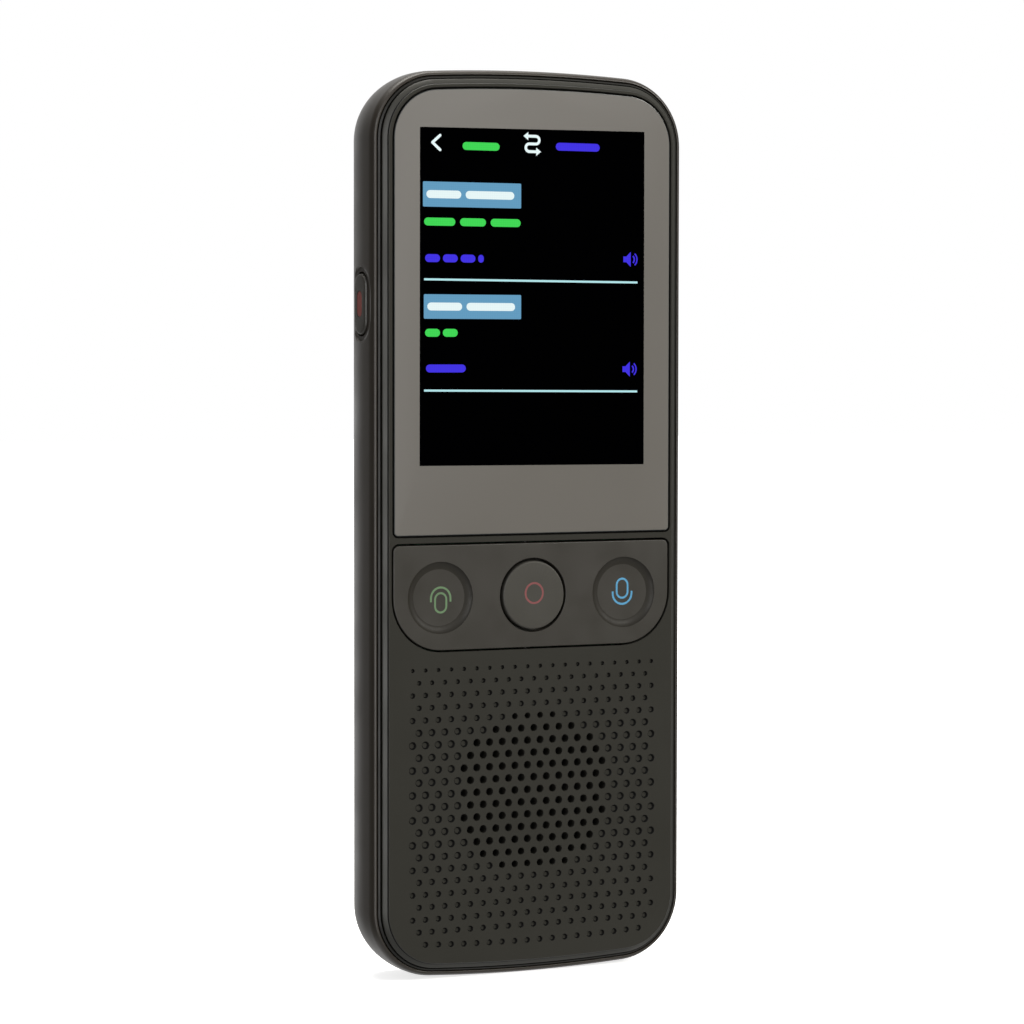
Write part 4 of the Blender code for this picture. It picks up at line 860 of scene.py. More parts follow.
    # In the order of the Ink numbers.
    BY_INK = (BORDER, BLACK, WHITE, GREEN, BLUE, CYAN, LABEL, GLASS_EDGE)

    BY_SLOT = {
        "housing": FRONT,
        "shell": REAR,
        "trim": TRIM,
        "key": KEY,
        "button": BUTTON,
        "red": RED,
        "glass": BORDER,
        "lcd": PANEL,
        "light": GUIDE,
        "foam": FOAM,
        "steel": STEEL,
        "nylon": NYLON,
        "flex": FLEX,
        "board": BOARD,
        "chip": CHIP,
        "silicone": SILICONE,
        "foil": FOIL,
        "wire": WIRE,
        "mesh": MESH,
        "cone": CONE,
    }


def hand_over(
    piece: bpy.types.Object, finishes: Sequence[Finish], body: Body, stands_for: str
) -> None:
    """Gives a piece its finishes, shades it, ties it to its body and reports it.

    Args:
        piece: The new object.
        finishes: Its finishes, in the order of the face numbers.
        body: The body that it moves with.
        stands_for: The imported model's node that it replaces.
    """
    for finish in finishes:
        piece.data.materials.append(finish.material())
    piece.data.shade_smooth()
    piece.data.set_sharp_from_angle(angle=SHARP)
    settle_normals(piece)
    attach(piece, body.value)
    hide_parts(stands_for)
    LOG.info("%s: %d faces on %s", piece.name, len(piece.data.polygons), body.value)


# Sub-assemblies


@dataclass
class Grille:
    """The graded field of round holes, in staggered rows of one pitch."""

    column: float = 2.074
    row: float = 1.814
    top: float = 45.36
    wide_count: int = 20
    full_radius: float = 0.575
    shares: Sequence[float] = (0.52, 0.61, 0.70, 0.72, 0.80, 0.95) + (1.0,) * 9 + (0.93, 0.88, 0.83) + (0.77,) * 5
    last_bow: float = 0.58
    last_rise: float = 0.08
    aside: float = 0.15
    speaker: Point = (0.0, 27.068)
    open_centre: Point = (0.15, 26.948)
    open_radius: float = 12.2
    sides: int = 18

    def holes(self) -> Iterable[tuple[Point, float, bool]]:
        """Every hole, row by row from the top.

        Yields:
            Its centre, its radius, and whether it goes through to the speaker.
        """
        for number, share in enumerate(self.shares):
            count = self.wide_count - number % 2
            last = number == len(self.shares) - 1
            for place in range(1, count - 1) if last else range(count):
                side = 2 * place / (count - 1) - 1
                across = side * (count - 1) / 2 * self.column + self.aside
                up = self.top - number * self.row - (self.last_bow * (1 - side**2) - self.last_rise if last else 0)
                reach = math.hypot(across - self.open_centre[0], up - self.open_centre[1])
                yield (across, up), self.full_radius * share, reach < self.open_radius


@dataclass
class FrontHousing:
    """The moulded face with its step, bevel and lip, the pockets for glass and keys, and the grille.

    The face ends in a small edge, whose middle point and the bevel's softening are shares of that edge.
    """

    form: Form
    grille: Grille
    wall: float = 1.8
    edge: float = 0.18
    edge_middle: Point = (0.5, 0.4)
    step: float = 0.285
    bevel_reach: float = 0.6
    bevel_depth: float = 0.38
    bevel_soft: Point = (0.7, 0.6)
    lip: float = 0.25
    skirt_out: float = 0.2
    skirt_in: float = -0.45
    skirt_depth: float = 2.6
    seam: float = 0.28
    key_seam: float = 0.29
    mouth: float = 0.05
    pocket_floor: float = 1.35
    hole_edge: float = 0.04
    dimple_depth: float = 0.32
    dimple_foot_share: float = 0.64
    window_half: float = 21.11
    window_low: float = 66.63
    window_high: float = 125.59
    window_corner: float = 0.65
    collar_radii: Point = (13.65, 14.55)
    collar_depth: float = 4.6
    collar_sides: int = 64
    corner_steps: int = 4

    def edges(self, maker: Maker) -> None:
        """The outside of the shell, from the face round to its back.

        Args:
            maker: Takes the faces.
        """
        back = self.step + self.bevel_depth
        across, deep = self.edge_middle
        soft, drop = self.edge * self.bevel_soft[0], self.bevel_soft[1]
        section = [
            (-self.edge, 0.0),
            (-self.edge * across, self.edge * deep),
            (0.0, self.step),
            (self.bevel_reach - soft, back - soft * self.bevel_depth / self.bevel_reach),
            (self.bevel_reach, back + soft * drop),
            (self.bevel_reach, back + self.lip),
            (self.skirt_out, back + self.lip),
            (self.skirt_out, self.skirt_depth),
            (self.skirt_in, self.skirt_depth),
            (self.skirt_in, self.wall),
        ]
        levels = [(self.form.outline(reach), depth) for reach, depth in section]
        maker.rings(levels[:2], tone=2)
        # The step's wall takes the near-black finish: painted shade for the shade on the step.
        maker.rings(levels[1:3], tone=1)
        maker.rings(levels[2:], tone=2)

    def pockets(self, maker: Maker) -> None:
        """The walls of the glass pocket, the display window and the key window.

        Args:
            maker: Takes the faces.
        """
        glass, key, window = self.form.glass, self.form.key, self.window()
        for outline, gap, floor in ((glass, self.seam, self.pocket_floor), (key, self.key_seam, self.wall)):
            maker.rings([(outline(gap + self.mouth), 0.0), (outline(gap), self.mouth), (outline(gap), floor)])
        maker.sheet(glass(self.seam), self.pocket_floor, [window])
        maker.rings([(window, self.pocket_floor), (window, self.wall)])

    def window(self) -> Outline:
        """The opening behind the glass that the display fills."""
        half, corners = self.window_half, (self.window_corner,) * 4
        return four_corners(-half, half, self.window_low, self.window_high, corners, self.corner_steps)

    def face(self, maker: Maker) -> None:
        """The flat front with its pockets and holes, the flat back, and each hole's wall.

        Args:
            maker: Takes the faces.
        """
        form, sides = self.form, self.grille.sides
        fronts = [form.glass(self.seam + self.mouth), form.key(self.key_seam + self.mouth)]
        backs = [self.window(), form.key(self.key_seam)]
        for centre, radius, is_open in self.grille.holes():
            mouth, wall = circle(centre, radius + self.hole_edge, sides), circle(centre, radius, sides)
            fronts.append(mouth)
            if is_open:
                backs.append(wall)
                maker.rings([(mouth, 0.0), (wall, self.hole_edge), (wall, self.wall)])
            else:
                foot = circle(centre, radius * self.dimple_foot_share, sides)
                maker.rings([(mouth, 0.0), (wall, self.hole_edge)])
                # The sunk wall of each blind hole takes the near-black finish: painted shade for the crescent of
                # shade inside the hole.
                maker.rings([(wall, self.hole_edge), (foot, self.dimple_depth)], tone=1)
                maker.lid(foot, self.dimple_depth)
        maker.sheet(form.outline(-self.edge), 0.0, fronts)
        maker.sheet(form.outline(self.skirt_in), self.wall, backs)

    def build(self) -> None:
        """Makes the housing, with the collar that seals the speaker."""
        maker = Maker()
        self.edges(maker)
        self.pockets(maker)
        self.face(maker)
        inner, outer = self.collar_radii
        near, far = self.wall, self.collar_depth
        collar = [(inner, near), (outer, near), (outer, far), (inner, far)]
        maker.turned(self.grille.speaker, collar, self.collar_sides, closed=True)
        finishes = [Finishes.FRONT, Finishes.PAINTED_SHADE_WALL, Finishes.BEVEL]
        hand_over(maker.build("front_face"), finishes, Body.DEVICE, "front_housing")


@dataclass
class TrimRing:
    """The thin lacquered strip between the two housings."""

    form: Form
    inner: float = 0.45
    near: float = 0.76
    out: float = 1.06
    front: float = 1.01
    slope: float = 0.14
    back: float = 1.91
    edge: float = 0.05
    foot: float = 0.4

    def build(self) -> None:
        """Makes the ring as one closed band."""
        section = [
            (self.inner, self.front + self.foot),
            (self.near - self.edge, self.front + self.foot),
            (self.near, self.front + self.edge),
            (self.near + self.edge, self.front),
            (self.out - self.edge, self.front + self.slope),
            (self.out, self.front + self.slope + self.edge),
            (self.out, self.back),
            (self.inner, self.back),
        ]
        maker = Maker()
        maker.rings([(self.form.outline(reach), depth) for reach, depth in section], closed=True)
        hand_over(maker.build("trim_strip"), [Finishes.TRIM], Body.DEVICE, "trim_ring")


@dataclass
class SideOpening:
    """The scoop in the left wall and the slot for the power button, which share one centre."""

    deep: float = 6.1
    up: float = 98.34
    floor_wide: float = 5.6
    floor_long: float = 10.6
    mouth_wide: float = 8.6
    mouth_long: float = 11.1
    depth: float = 0.55
    soft: float = 0.10
    slot_wide: float = 4.4
    slot_long: float = 9.4
    patch_half: float = 9.0
    steps: int = 28
    widest_level: float = 6.0
    halvings: int = 30

    @property
    def middle(self) -> Point:
        """The centre that the scoop, the slot and the button share."""
        return self.deep, self.up

    def size_at(self, level: float) -> Point:
        """The scoop's width and length at a level from 0, its floor, past 1, the wall's widest line."""
        wide = self.floor_wide + (self.mouth_wide - self.floor_wide) * level
        return wide, self.floor_long + (self.mouth_long - self.floor_long) * level

    def level_at(self, deep: float, up: float) -> float:
        """How far up the scoop's slope a place lies.

        Args:
            deep: Depth of the place.
            up: Height of the place.

        Returns:
            0 or less over the floor, 1 at the mouth and more outside it.
        """
        low, high = -1.0, self.widest_level
        for _ in range(self.halvings):
            level = (low + high) / 2
            radius, half = (size / 2 for size in self.size_at(level))
            beyond = max(0.0, abs(up - self.up) - max(0.0, half - radius))
            if math.hypot(deep - self.deep, beyond) > radius:
                low = level
            else:
                high = level
        return high

    def press(self, deep: float, up: float, wall: float) -> float:
        """How far inside the widest line the surface lies once the scoop is cut.

        Args:
            deep: Depth of the place.
            up: Height of the place.
            wall: How far inside the widest line the plain wall lies there.

        Returns:
            The distance, with the scoop's edges softened.
        """
        cut = self.depth * (1 - max(0.0, self.level_at(deep, up)))
        gap, soft = wall - cut, self.soft
        if gap > soft:
            return wall
        if gap < -soft:
            return cut
        share = (gap + soft) / (2 * soft)
        return cut + (wall - cut) * share + soft * share * (1 - share)


@dataclass
class RearHousing:
    """The deep back shell: a rounded rim, straight sides, a full rounding and a flat back.

    The patch is the stretch of left wall that is pressed in round the power button.
    """

    form: Form
    opening: SideOpening
    inner: float = 0.45
    rim_in: float = 1.16
    rim_front: float = 1.15
    rim_soft: float = 0.3
    rim_round_reach: float = 0.65
    rim_round_depth: float = 1.38
    rim_steps: int = 3
    rim_round_steps: int = 9
    shelf: float = 2.07
    straight: float = 1.2
    round_reach: float = 3.6
    round_steps: int = 22
    back_margin: float = 0.4
    back_wall: float = 1.4
    inner_round: float = 2.4
    patch_front: float = 0.5
    patch_back: float = 11.6
    patch_steps: int = 60
    patch_levels: Sequence[float] = (
        *(0.0, 0.06, 0.14, 0.25, 0.38, 0.5, 0.62),
        *(0.74, 0.86, 0.95, 1.05, 1.18, 1.35, 1.6),
    )
    slot_past: float = 0.4
    port_wide: float = 9.48
    port_high: float = 3.8
    port_depth: float = 6.25
    port_soft: float = 0.7
    port_levels: Sequence[float] = (-0.2, 0.2, 3.0)
    port_steps: int = 16
    mic_depth: float = 6.6
    mic_radius: float = 0.5
    mic_sides: int = 20
    mic_wall: float = 3.4
    low_mic: float = 9.0
    high_mic: float = -8.0
    beyond: float = 1.0

    @property
    def rim_end(self) -> float:
        """Depth at which the rim's rounding ends."""
        return self.rim_front + self.rim_round_depth

    @property
    def round_start(self) -> float:
        """Depth at which the back's rounding begins."""
        return self.rim_end + self.straight

    def outside(self) -> list[Point]:
        """Reach and depth of the wall's outside.

        Returns:
            Points from the rim's inner edge to the flat back.
        """
        swell, thick, start = self.form.swell, self.form.thickness, self.round_start
        centre = swell - self.rim_round_reach
        inwards = centre - self.rim_in
        rows = [(self.rim_in, self.shelf)]
        for s, c in quarter(self.rim_steps):
            rows.append((centre - inwards * c, self.rim_front + self.rim_soft * (1 - s)))
        for s, c in quarter(self.rim_round_steps)[1:]:
            rows.append((centre + self.rim_round_reach * s, self.rim_front + self.rim_round_depth * (1 - c)))
        rows.append((swell, (self.rim_end + start) / 2))
        for s, c in quarter(self.round_steps):
            rows.append((swell - self.round_reach * (1 - c), start + (thick - start) * s))
        return rows + [(swell - self.round_reach - self.back_margin, thick)]

    def inside(self) -> list[Point]:
        """Reach and depth of the wall's inside.

        Returns:
            Points from the opening to the floor.
        """
        start, floor = self.round_start, self.form.thickness - self.back_wall
        rows = [(self.inner, self.shelf)]
        for s, c in quarter(EDGE_STEPS):
            rows.append((self.inner - self.inner_round * (1 - c), start + (floor - start) * s))
        return rows

    def wall_inset(self, deep: float) -> float:
        """How far inside the widest line the outside lies.

        Args:
            deep: Depth of the place.

        Returns:
            The distance without the scoop.
        """
        if deep <= self.round_start:
            rise = min(1.0, max(0.0, (self.rim_end - deep) / self.rim_round_depth))
            return self.rim_round_reach * (1 - math.sqrt(max(0.0, 1 - rise**2)))
        share = min(1.0, (deep - self.round_start) / (self.form.thickness - self.round_start))
        return self.round_reach * (1 - math.sqrt(1 - share**2))

    def scoop_patch(self, maker: Maker, rows: Sequence[Point]) -> None:
        """Fills the patch with faces that follow the scoop.

        Args:
            maker: Takes the faces.
            rows: Reach and depth of each ring that the patch joins.
        """
        half, steps = self.opening.patch_half, self.patch_steps
        low, high = self.opening.up - half, self.opening.up + half
        depths = [depth for _, depth in rows]
        border = [(depth, low) for depth in depths] + [(depth, high) for depth in reversed(depths)]
        points = [Vector(point) for point in border]
        faces, edges = [list(range(len(points)))], []
        for level in self.patch_levels:
            loop = pill(self.opening.middle, *self.opening.size_at(level), self.opening.steps)
            if min(u for u, _ in loop) <= depths[0] or max(u for u, _ in loop) >= depths[-1]:
                continue
            start = len(points)
            points.extend(Vector(point) for point in loop)
            edges.extend((start + i, start + (i + 1) % len(loop)) for i in range(len(loop)))
        for depth in depths[1:-1]:
            start = len(points)
            points.extend(Vector((depth, low + 2 * half * i / steps)) for i in range(1, steps))
            edges.extend((start + i, start + i + 1) for i in range(steps - 2))
        flat, _, triangles, _, _, _ = delaunay_2d_cdt(points, edges, faces, INSIDE, PATCH_SNAP)
        widest = self.form.face_half + self.form.swell
        corners = []
        for deep, up in flat:
            inset = self.wall_inset(deep)
            if low < up < high:
                inset = self.opening.press(deep, up, inset)
            corners.append(maker.mesh.verts.new(Facing.LEFT.place(deep, up, inset - widest)))
        for triangle in triangles:
            maker.mesh.faces.new([corners[i] for i in triangle])

    def shell(self, maker: Maker) -> None:
        """The closed shell, with the patch set into its left wall.

        Args:
            maker: Takes the faces.
        """
        half = self.opening.patch_half
        stops = (self.opening.up + half, self.opening.up - half)
        outside, inside = self.outside(), self.inside()
        deep = [depth for _, depth in outside]
        first = next(i for i in range(2, len(deep)) if deep[i] > self.rim_front + self.patch_front)
        last = next(i for i in range(len(deep)) if deep[i] > self.patch_back)
        rows = [
            [maker.mesh.verts.new(Facing.FRONT.place(u, v, depth)) for u, v in self.form.outline(reach, stops)]
            for reach, depth in outside
        ]
        upper = [v for _, v in self.form.outline(0.0, stops)].index(stops[0])
        for number, (near, far) in enumerate(zip(rows, rows[1:])):
            for i in range(len(near)):
                if i == upper and first <= number < last:
                    continue
                j = (i + 1) % len(near)
                maker.mesh.faces.new((near[i], near[j], far[j], far[i]))
        self.scoop_patch(maker, outside[first : last + 1])
        maker.mesh.faces.new(rows[-1])
        maker.rings([(self.form.outline(reach, stops), depth) for reach, depth in inside])
        maker.rings([(self.form.outline(reach, stops), self.shelf) for reach in (self.inner, self.rim_in)])
        maker.lid(self.form.outline(inside[-1][0], stops), inside[-1][1])

    def build(self) -> None:
        """Makes the shell and cuts the button's slot, the charging port and the microphone holes."""
        maker = Maker()
        self.shell(maker)
        piece = maker.build("rear_shell")
        form, opening, out = self.form, self.opening, self.beyond
        slot = pill(opening.middle, opening.slot_wide, opening.slot_long, opening.steps)
        through = (-form.face_half - form.swell - out, -form.face_half - self.inner + self.slot_past)
        carve(piece, [(slot, level) for level in through], Facing.LEFT)
        middle, steps = (0.0, self.port_depth), self.port_steps
        mouth = pill(middle, self.port_wide + self.port_soft, self.port_high + self.port_soft, steps)
        port = pill(middle, self.port_wide, self.port_high, steps)
        carve(piece, list(zip((mouth, port, port), self.port_levels)), Facing.BELOW)
        low, high = (-out, self.mic_wall), (form.height - self.mic_wall, form.height + out)
        for across, levels in ((self.low_mic, low), (self.high_mic, high)):
            hole = circle((across, self.mic_depth), self.mic_radius, self.mic_sides)
            carve(piece, [(hole, level) for level in levels], Facing.BELOW)
        hand_over(piece, [Finishes.REAR], Body.DEVICE, "rear_housing")


class Ink(Enum):
    """The finishes of the cover glass, each with its face number."""

    BORDER = 0
    BLACK = 1
    WHITE = 2
    GREEN = 3
    BLUE = 4
    CYAN = 5
    LABEL = 6
    EDGE = 7


Inked = list[tuple[Outline, Ink]]


@dataclass
class Screen:
    """What the display shows: plain bars for words, and simple icons."""

    half: float = 18.36
    low: float = 74.88
    high: float = 123.84
    bar: float = 1.15
    bar_steps: int = 8
    line: float = 0.42

    def words(self, start: float, middle: float, widths: Sequence[float], ink: Ink, gap: float = 0.75) -> Inked:
        """A row of round-ended bars, one for each word.

        Args:
            start: Where the row begins.
            middle: Its height.
            widths: Width of each bar.
            ink: The colour.
            gap: Space between the bars.

        Returns:
            The bars with their ink.
        """
        bars: Inked = []
        for width in widths:
            bars.append((pill((start + width / 2, middle), width, self.bar, self.bar_steps), ink))
            start += width + gap
        return bars

    def label(self, left: float, right: float, low: float, high: float, widths: Sequence[float]) -> Inked:
        """A filled label with pale bars on it.

        Args:
            left: Left edge.
            right: Right edge.
            low: Lower edge.
            high: Upper edge.
            widths: Width of each bar.

        Returns:
            The label and its bars with their ink.
        """
        corner, indent, gap = 0.15, 0.55, 0.7
        plate = four_corners(left, right, low, high, (corner,) * 4, 2)
        return [(plate, Ink.LABEL)] + self.words(left + indent, (low + high) / 2, widths, Ink.WHITE, gap)

    def speaker(self, left: float, low: float) -> Inked:
        """A small loudspeaker symbol.

        Args:
            left: Left edge.
            low: Lower edge.

        Returns:
            Its parts with their ink.
        """
        horn = [(0.0, 0.75), (0.5, 0.75), (1.25, 0.05), (1.25, 2.3), (0.5, 1.6), (0.0, 1.6)]
        parts = [([(left + x, low + y) for x, y in horn], Ink.BLUE)]
        centre, reach, steps = (left + 1.2, low + 1.18), 50, 10
        for radius, width in ((0.65, 0.25), (1.1, 0.22)):
            outer, inner = (arc(centre, radius + side * width / 2, -reach, reach, steps) for side in (1, -1))
            parts.append((band(outer, inner), Ink.BLUE))
        return parts

    def swap(self, centre: Point) -> Inked:
        """Two arrows on one bent line, for changing the languages over.

        Args:
            centre: The symbol's centre.

        Returns:
            Its parts with their ink.
        """
        x, y = centre
        rise, bend, steps, reach, head = 1.12, 0.56, 8, 1.45, (0.8, 0.6)
        bends = (
            [(x - 0.75, y + rise), (x + 0.6, y + rise)]
            + arc((x + 0.6, y + bend), bend, 90, -90, steps)[1:]
            + arc((x - 0.5, y - bend), bend, 90, 270, steps)
            + [(x + 0.85, y - rise)]
        )
        parts = [(outline, Ink.WHITE) for outline in stroke(bends, self.line)]
        for tip, way, up in ((x - reach, 1, y + rise), (x + reach, -1, y - rise)):
            back = tip + way * head[0]
            parts.append(([(tip, up), (back, up + head[1]), (back, up - head[1])], Ink.WHITE))
        return parts

    def picture(self) -> Inked:
        """Everything on the display, from back to front.

        Returns:
            Outlines with their ink.
        """
        half, low, high = self.half, self.low, self.high
        back = [
            (-half - 0.1, low + 0.11),
            (half + 0.08, low - 0.09),
            (half + 0.06, high + 0.22),
            (-half - 0.05, high - 0.08),
        ]
        chevron = [(-15.2, 122.62), (-16.42, 121.58), (-15.2, 120.54)]
        return [
            (back, Ink.BLACK),
            *((outline, Ink.WHITE) for outline in stroke(chevron, self.line)),
            *self.words(-11.6, 121.2, (6.0,), Ink.GREEN),
            *self.swap((-0.27, 121.78)),
            *self.words(3.6, 121.5, (7.3,), Ink.BLUE),
            *self.label(-17.94, -2.08, 112.34, 115.96, (5.6, 7.9)),
            *self.words(-17.75, 110.2, (5.0, 4.2, 4.9), Ink.GREEN),
            *self.words(-17.6, 104.95, (2.4, 2.4, 2.4, 0.9), Ink.BLUE, 0.45),
            *self.speaker(14.92, 103.99),
            self.rule(101.89, 101.77),
            *self.label(-17.79, -2.06, 96.22, 99.75, (5.6, 7.9)),
            *self.words(-17.6, 94.2, (2.4, 2.4), Ink.GREEN, 0.45),
            *self.words(-17.45, 89.05, (6.4,), Ink.BLUE),
            *self.speaker(14.82, 87.75),
            self.rule(85.87, 85.62),
        ]

    def rule(self, left: float, right: float) -> tuple[Outline, Ink]:
        """A thin line across the display, from one height at its left end to another at its right end."""
        half, start, stop = 0.15, -17.75, 17.32
        return [(start, left - half), (stop, right - half), (stop, right + half), (start, left + half)], Ink.CYAN


@dataclass
class CoverGlass:
    """The flat glass: a printed border, and the display laminated behind its clear window."""

    form: Form
    screen: Screen
    thick: float = 1.1
    bevel: float = 0.12
    bevel_middle: float = 0.3

    def build(self) -> None:
        """Makes the glass with the picture set into its front."""
        glass, bevel, middle = self.form.glass, self.bevel, self.bevel * self.bevel_middle
        maker = Maker()
        maker.sheet(glass(-bevel), 0.0, (), [(outline, ink.value) for outline, ink in self.screen.picture()])
        section = [(-bevel, 0.0), (-middle, middle), (0.0, bevel), (0.0, self.thick)]
        maker.rings([(glass(reach), depth) for reach, depth in section], tone=Ink.EDGE.value)
        maker.lid(glass(0.0), self.thick)
        hand_over(maker.build("screen_glass"), Finishes.BY_INK, Body.DEVICE, "cover_glass")


@dataclass(frozen=True)
class KeySymbol:
    """A printed capsule with a bow round one end, which a way of 1 puts over it and -1 under it."""

    middle: float
    low: float
    high: float
    wide: float
    bow_end: float
    bow_radius: float
    bow_foot: float
    way: int
    steps: int = 12
    bow_steps: int = 16

    def outlines(self, line: float) -> tuple[Outline, Outline, Outline]:
        """The symbol's parts.

        Args:
            line: The width of its lines.

        Returns:
            The capsule's outer and inner edge, and the bow.
        """
        x, high = self.middle, self.high - self.low
        centre = (x, (self.low + self.high) / 2)
        outer, inner = (pill(centre, self.wide - less, high - less, self.steps) for less in (0, 2 * line))
        centre, start = (x, self.bow_end - self.way * self.bow_radius), 90 - 90 * self.way
        bows = []
        for radius in (self.bow_radius, self.bow_radius - line):
            ends = [(x + self.way * radius, self.bow_foot), (x - self.way * radius, self.bow_foot)]
            bows.append(ends[:1] + arc(centre, radius, start, start + 180, self.bow_steps) + ends[1:])
        return outer, inner, band(*bows)


@dataclass
class KeyPlate:
    """The rocking plate with a dished key at each end and the printed symbols in the dishes."""

    form: Form
    green: KeySymbol = KeySymbol(-14.8, 53.52, 56.63, 2.11, 57.46, 1.72, 55.2, 1)
    blue: KeySymbol = KeySymbol(15.16, 54.79, 57.94, 2.15, 53.88, 1.75, 55.92, -1)
    wall: float = 1.6
    edge: float = 0.14
    edge_middles: Point = (0.55, 0.12)
    hole: float = 5.44
    hole_edge: float = 0.05
    sides: int = 72
    dish: Sequence[Point] = (
        (5.24, 0.0),
        (5.16, 0.1),
        (5.04, 0.22),
        (4.9, 0.32),
        (4.73, 0.41),
        (4.54, 0.48),
        (4.34, 0.53),
        (4.12, 0.55),
    )
    line: float = 0.3
    sleeve_wall: float = 0.8
    sleeve_back: float = 2.0
    nub_radius: float = 1.5
    nub_back: float = 2.0
    nub_sides: int = 24
    pin_sides: int = 20
    pin_radius: float = 0.5
    pin_long: float = 0.9
    pin_depth: float = 2.475
    arm_half: float = 0.45
    arm_corner: float = 0.05

    @property
    def middle(self) -> Point:
        """The centre of the button's hole."""
        return 0.0, self.form.key_middle

    def dishes(self, maker: Maker) -> list[Outline]:
        """The two dished keys with their symbols.

        Args:
            maker: Takes the faces.

        Returns:
            The dishes' rims, to be left out of the plate's face.
        """
        rims = []
        for side, symbol, ink in ((-1, self.green, 1), (1, self.blue, 2)):
            centre = (side * self.form.dish_spread, self.form.key_middle)
            # The dish's sloping wall takes the darker ring finish: painted shade for the shade on the wall.
            maker.turned(centre, self.dish, self.sides, tone=3)
            outer, inner, bow = symbol.outlines(self.line)
            floor = circle(centre, self.dish[-1][0], self.sides)
            maker.sheet(floor, self.dish[-1][1], (), [(outer, ink), (inner, 0), (bow, ink)])
            rims.append(circle(centre, self.dish[0][0], self.sides))
        return rims

    def back(self, maker: Maker) -> None:
        """The pieces behind the plate: the button's guide, a nub behind each key and the two pivot pins.

        Args:
            maker: Takes the faces.
        """
        guide = self.hole + self.sleeve_wall
        near, far = self.wall, self.sleeve_back
        sleeve = [(self.hole, near), (guide, near), (guide, far), (self.hole, far)]
        maker.turned(self.middle, sleeve, self.sides, closed=True)
        for side in (-1, 1):
            nub = circle((side * self.form.dish_spread, self.form.key_middle), self.nub_radius, self.nub_sides)
            maker.prism(nub, self.wall, self.nub_back)
        for edge, way in ((self.form.key_top, 1), (self.form.key_bottom, -1)):
            pin = circle((0.0, self.pin_depth), self.pin_radius, self.pin_sides)
            maker.prism(pin, edge - self.pin_long, edge + self.pin_long, Facing.BELOW)
            arm, half, corners = edge - way * self.pin_long, self.pin_radius, (self.arm_corner,) * 4
            block = four_corners(-half, half, arm - self.arm_half, arm + self.arm_half, corners, 1)
            maker.prism(block, self.wall, self.pin_depth)

    def build(self) -> None:
        """Makes the plate with its dishes, hole and symbols."""
        maker = Maker()
        edge = self.edge
        far, near = (edge * share for share in self.edge_middles)
        section = [(-edge, 0.0), (-far, near), (-near, far), (0.0, edge), (0.0, self.wall)]
        maker.rings([(self.form.key(reach), depth) for reach, depth in section])
        mouth = circle(self.middle, self.hole + self.hole_edge, self.sides)
        wall = circle(self.middle, self.hole, self.sides)
        maker.rings([(mouth, 0.0), (wall, self.hole_edge), (wall, self.wall)])
        rims = self.dishes(maker)
        maker.sheet(self.form.key(-edge), 0.0, rims + [mouth])
        maker.sheet(self.form.key(0.0), self.wall, [wall])
        self.back(maker)
        finishes = [Finishes.KEY, Finishes.GREEN_INK, Finishes.BLUE_INK, Finishes.PAINTED_SHADE_RING]
        hand_over(maker.build("key_rocker"), finishes, Body.ROCKER, "key_plate")


@dataclass
class TalkButton:
    """The round button in the middle of the plate, with a printed ring."""

    form: Form
    radius: float = 5.02
    proud: float = 0.25
    edge: float = 0.3
    cap: float = 1.15
    stem: float = 2.6
    flange: float = 6.2
    flange_front: float = 2.05
    flange_back: float = 2.45
    ring: Point = (0.05, 56.12)
    ring_wide: float = 3.15
    ring_high: float = 3.23
    line: float = 0.3
    ring_sides: int = 48
    sides: int = 96

    def build(self) -> None:
        """Makes the button with its rounded edge, stem and flange."""
        centre = (0.0, self.form.key_middle)
        maker = Maker()
        turns = quarter(EDGE_STEPS)
        profile = [(self.radius - self.edge * (1 - s), self.edge * (1 - c) - self.proud) for s, c in turns]
        profile += [
            (self.radius, self.cap),
            (self.stem, self.cap),
            (self.stem, self.flange_front),
            (self.flange, self.flange_front),
            (self.flange, self.flange_back),
        ]
        maker.turned(centre, profile, self.sides)
        maker.lid(circle(centre, self.flange, self.sides), self.flange_back)
        wide, high = self.ring_wide / 2, self.ring_high / 2
        unit = circle((0.0, 0.0), 1.0, self.ring_sides)
        outer, inner = (
            [(self.ring[0] + x * (wide - less), self.ring[1] + y * (high - less)) for x, y in unit]
            for less in (0.0, self.line)
        )
        top = circle(centre, self.radius - self.edge, self.sides)
        maker.sheet(top, -self.proud, (), [(outer, 1), (inner, 0)])
        finishes = [Finishes.BUTTON, Finishes.RED_INK]
        hand_over(maker.build("talk_cap"), finishes, Body.TALK, "centre_button")


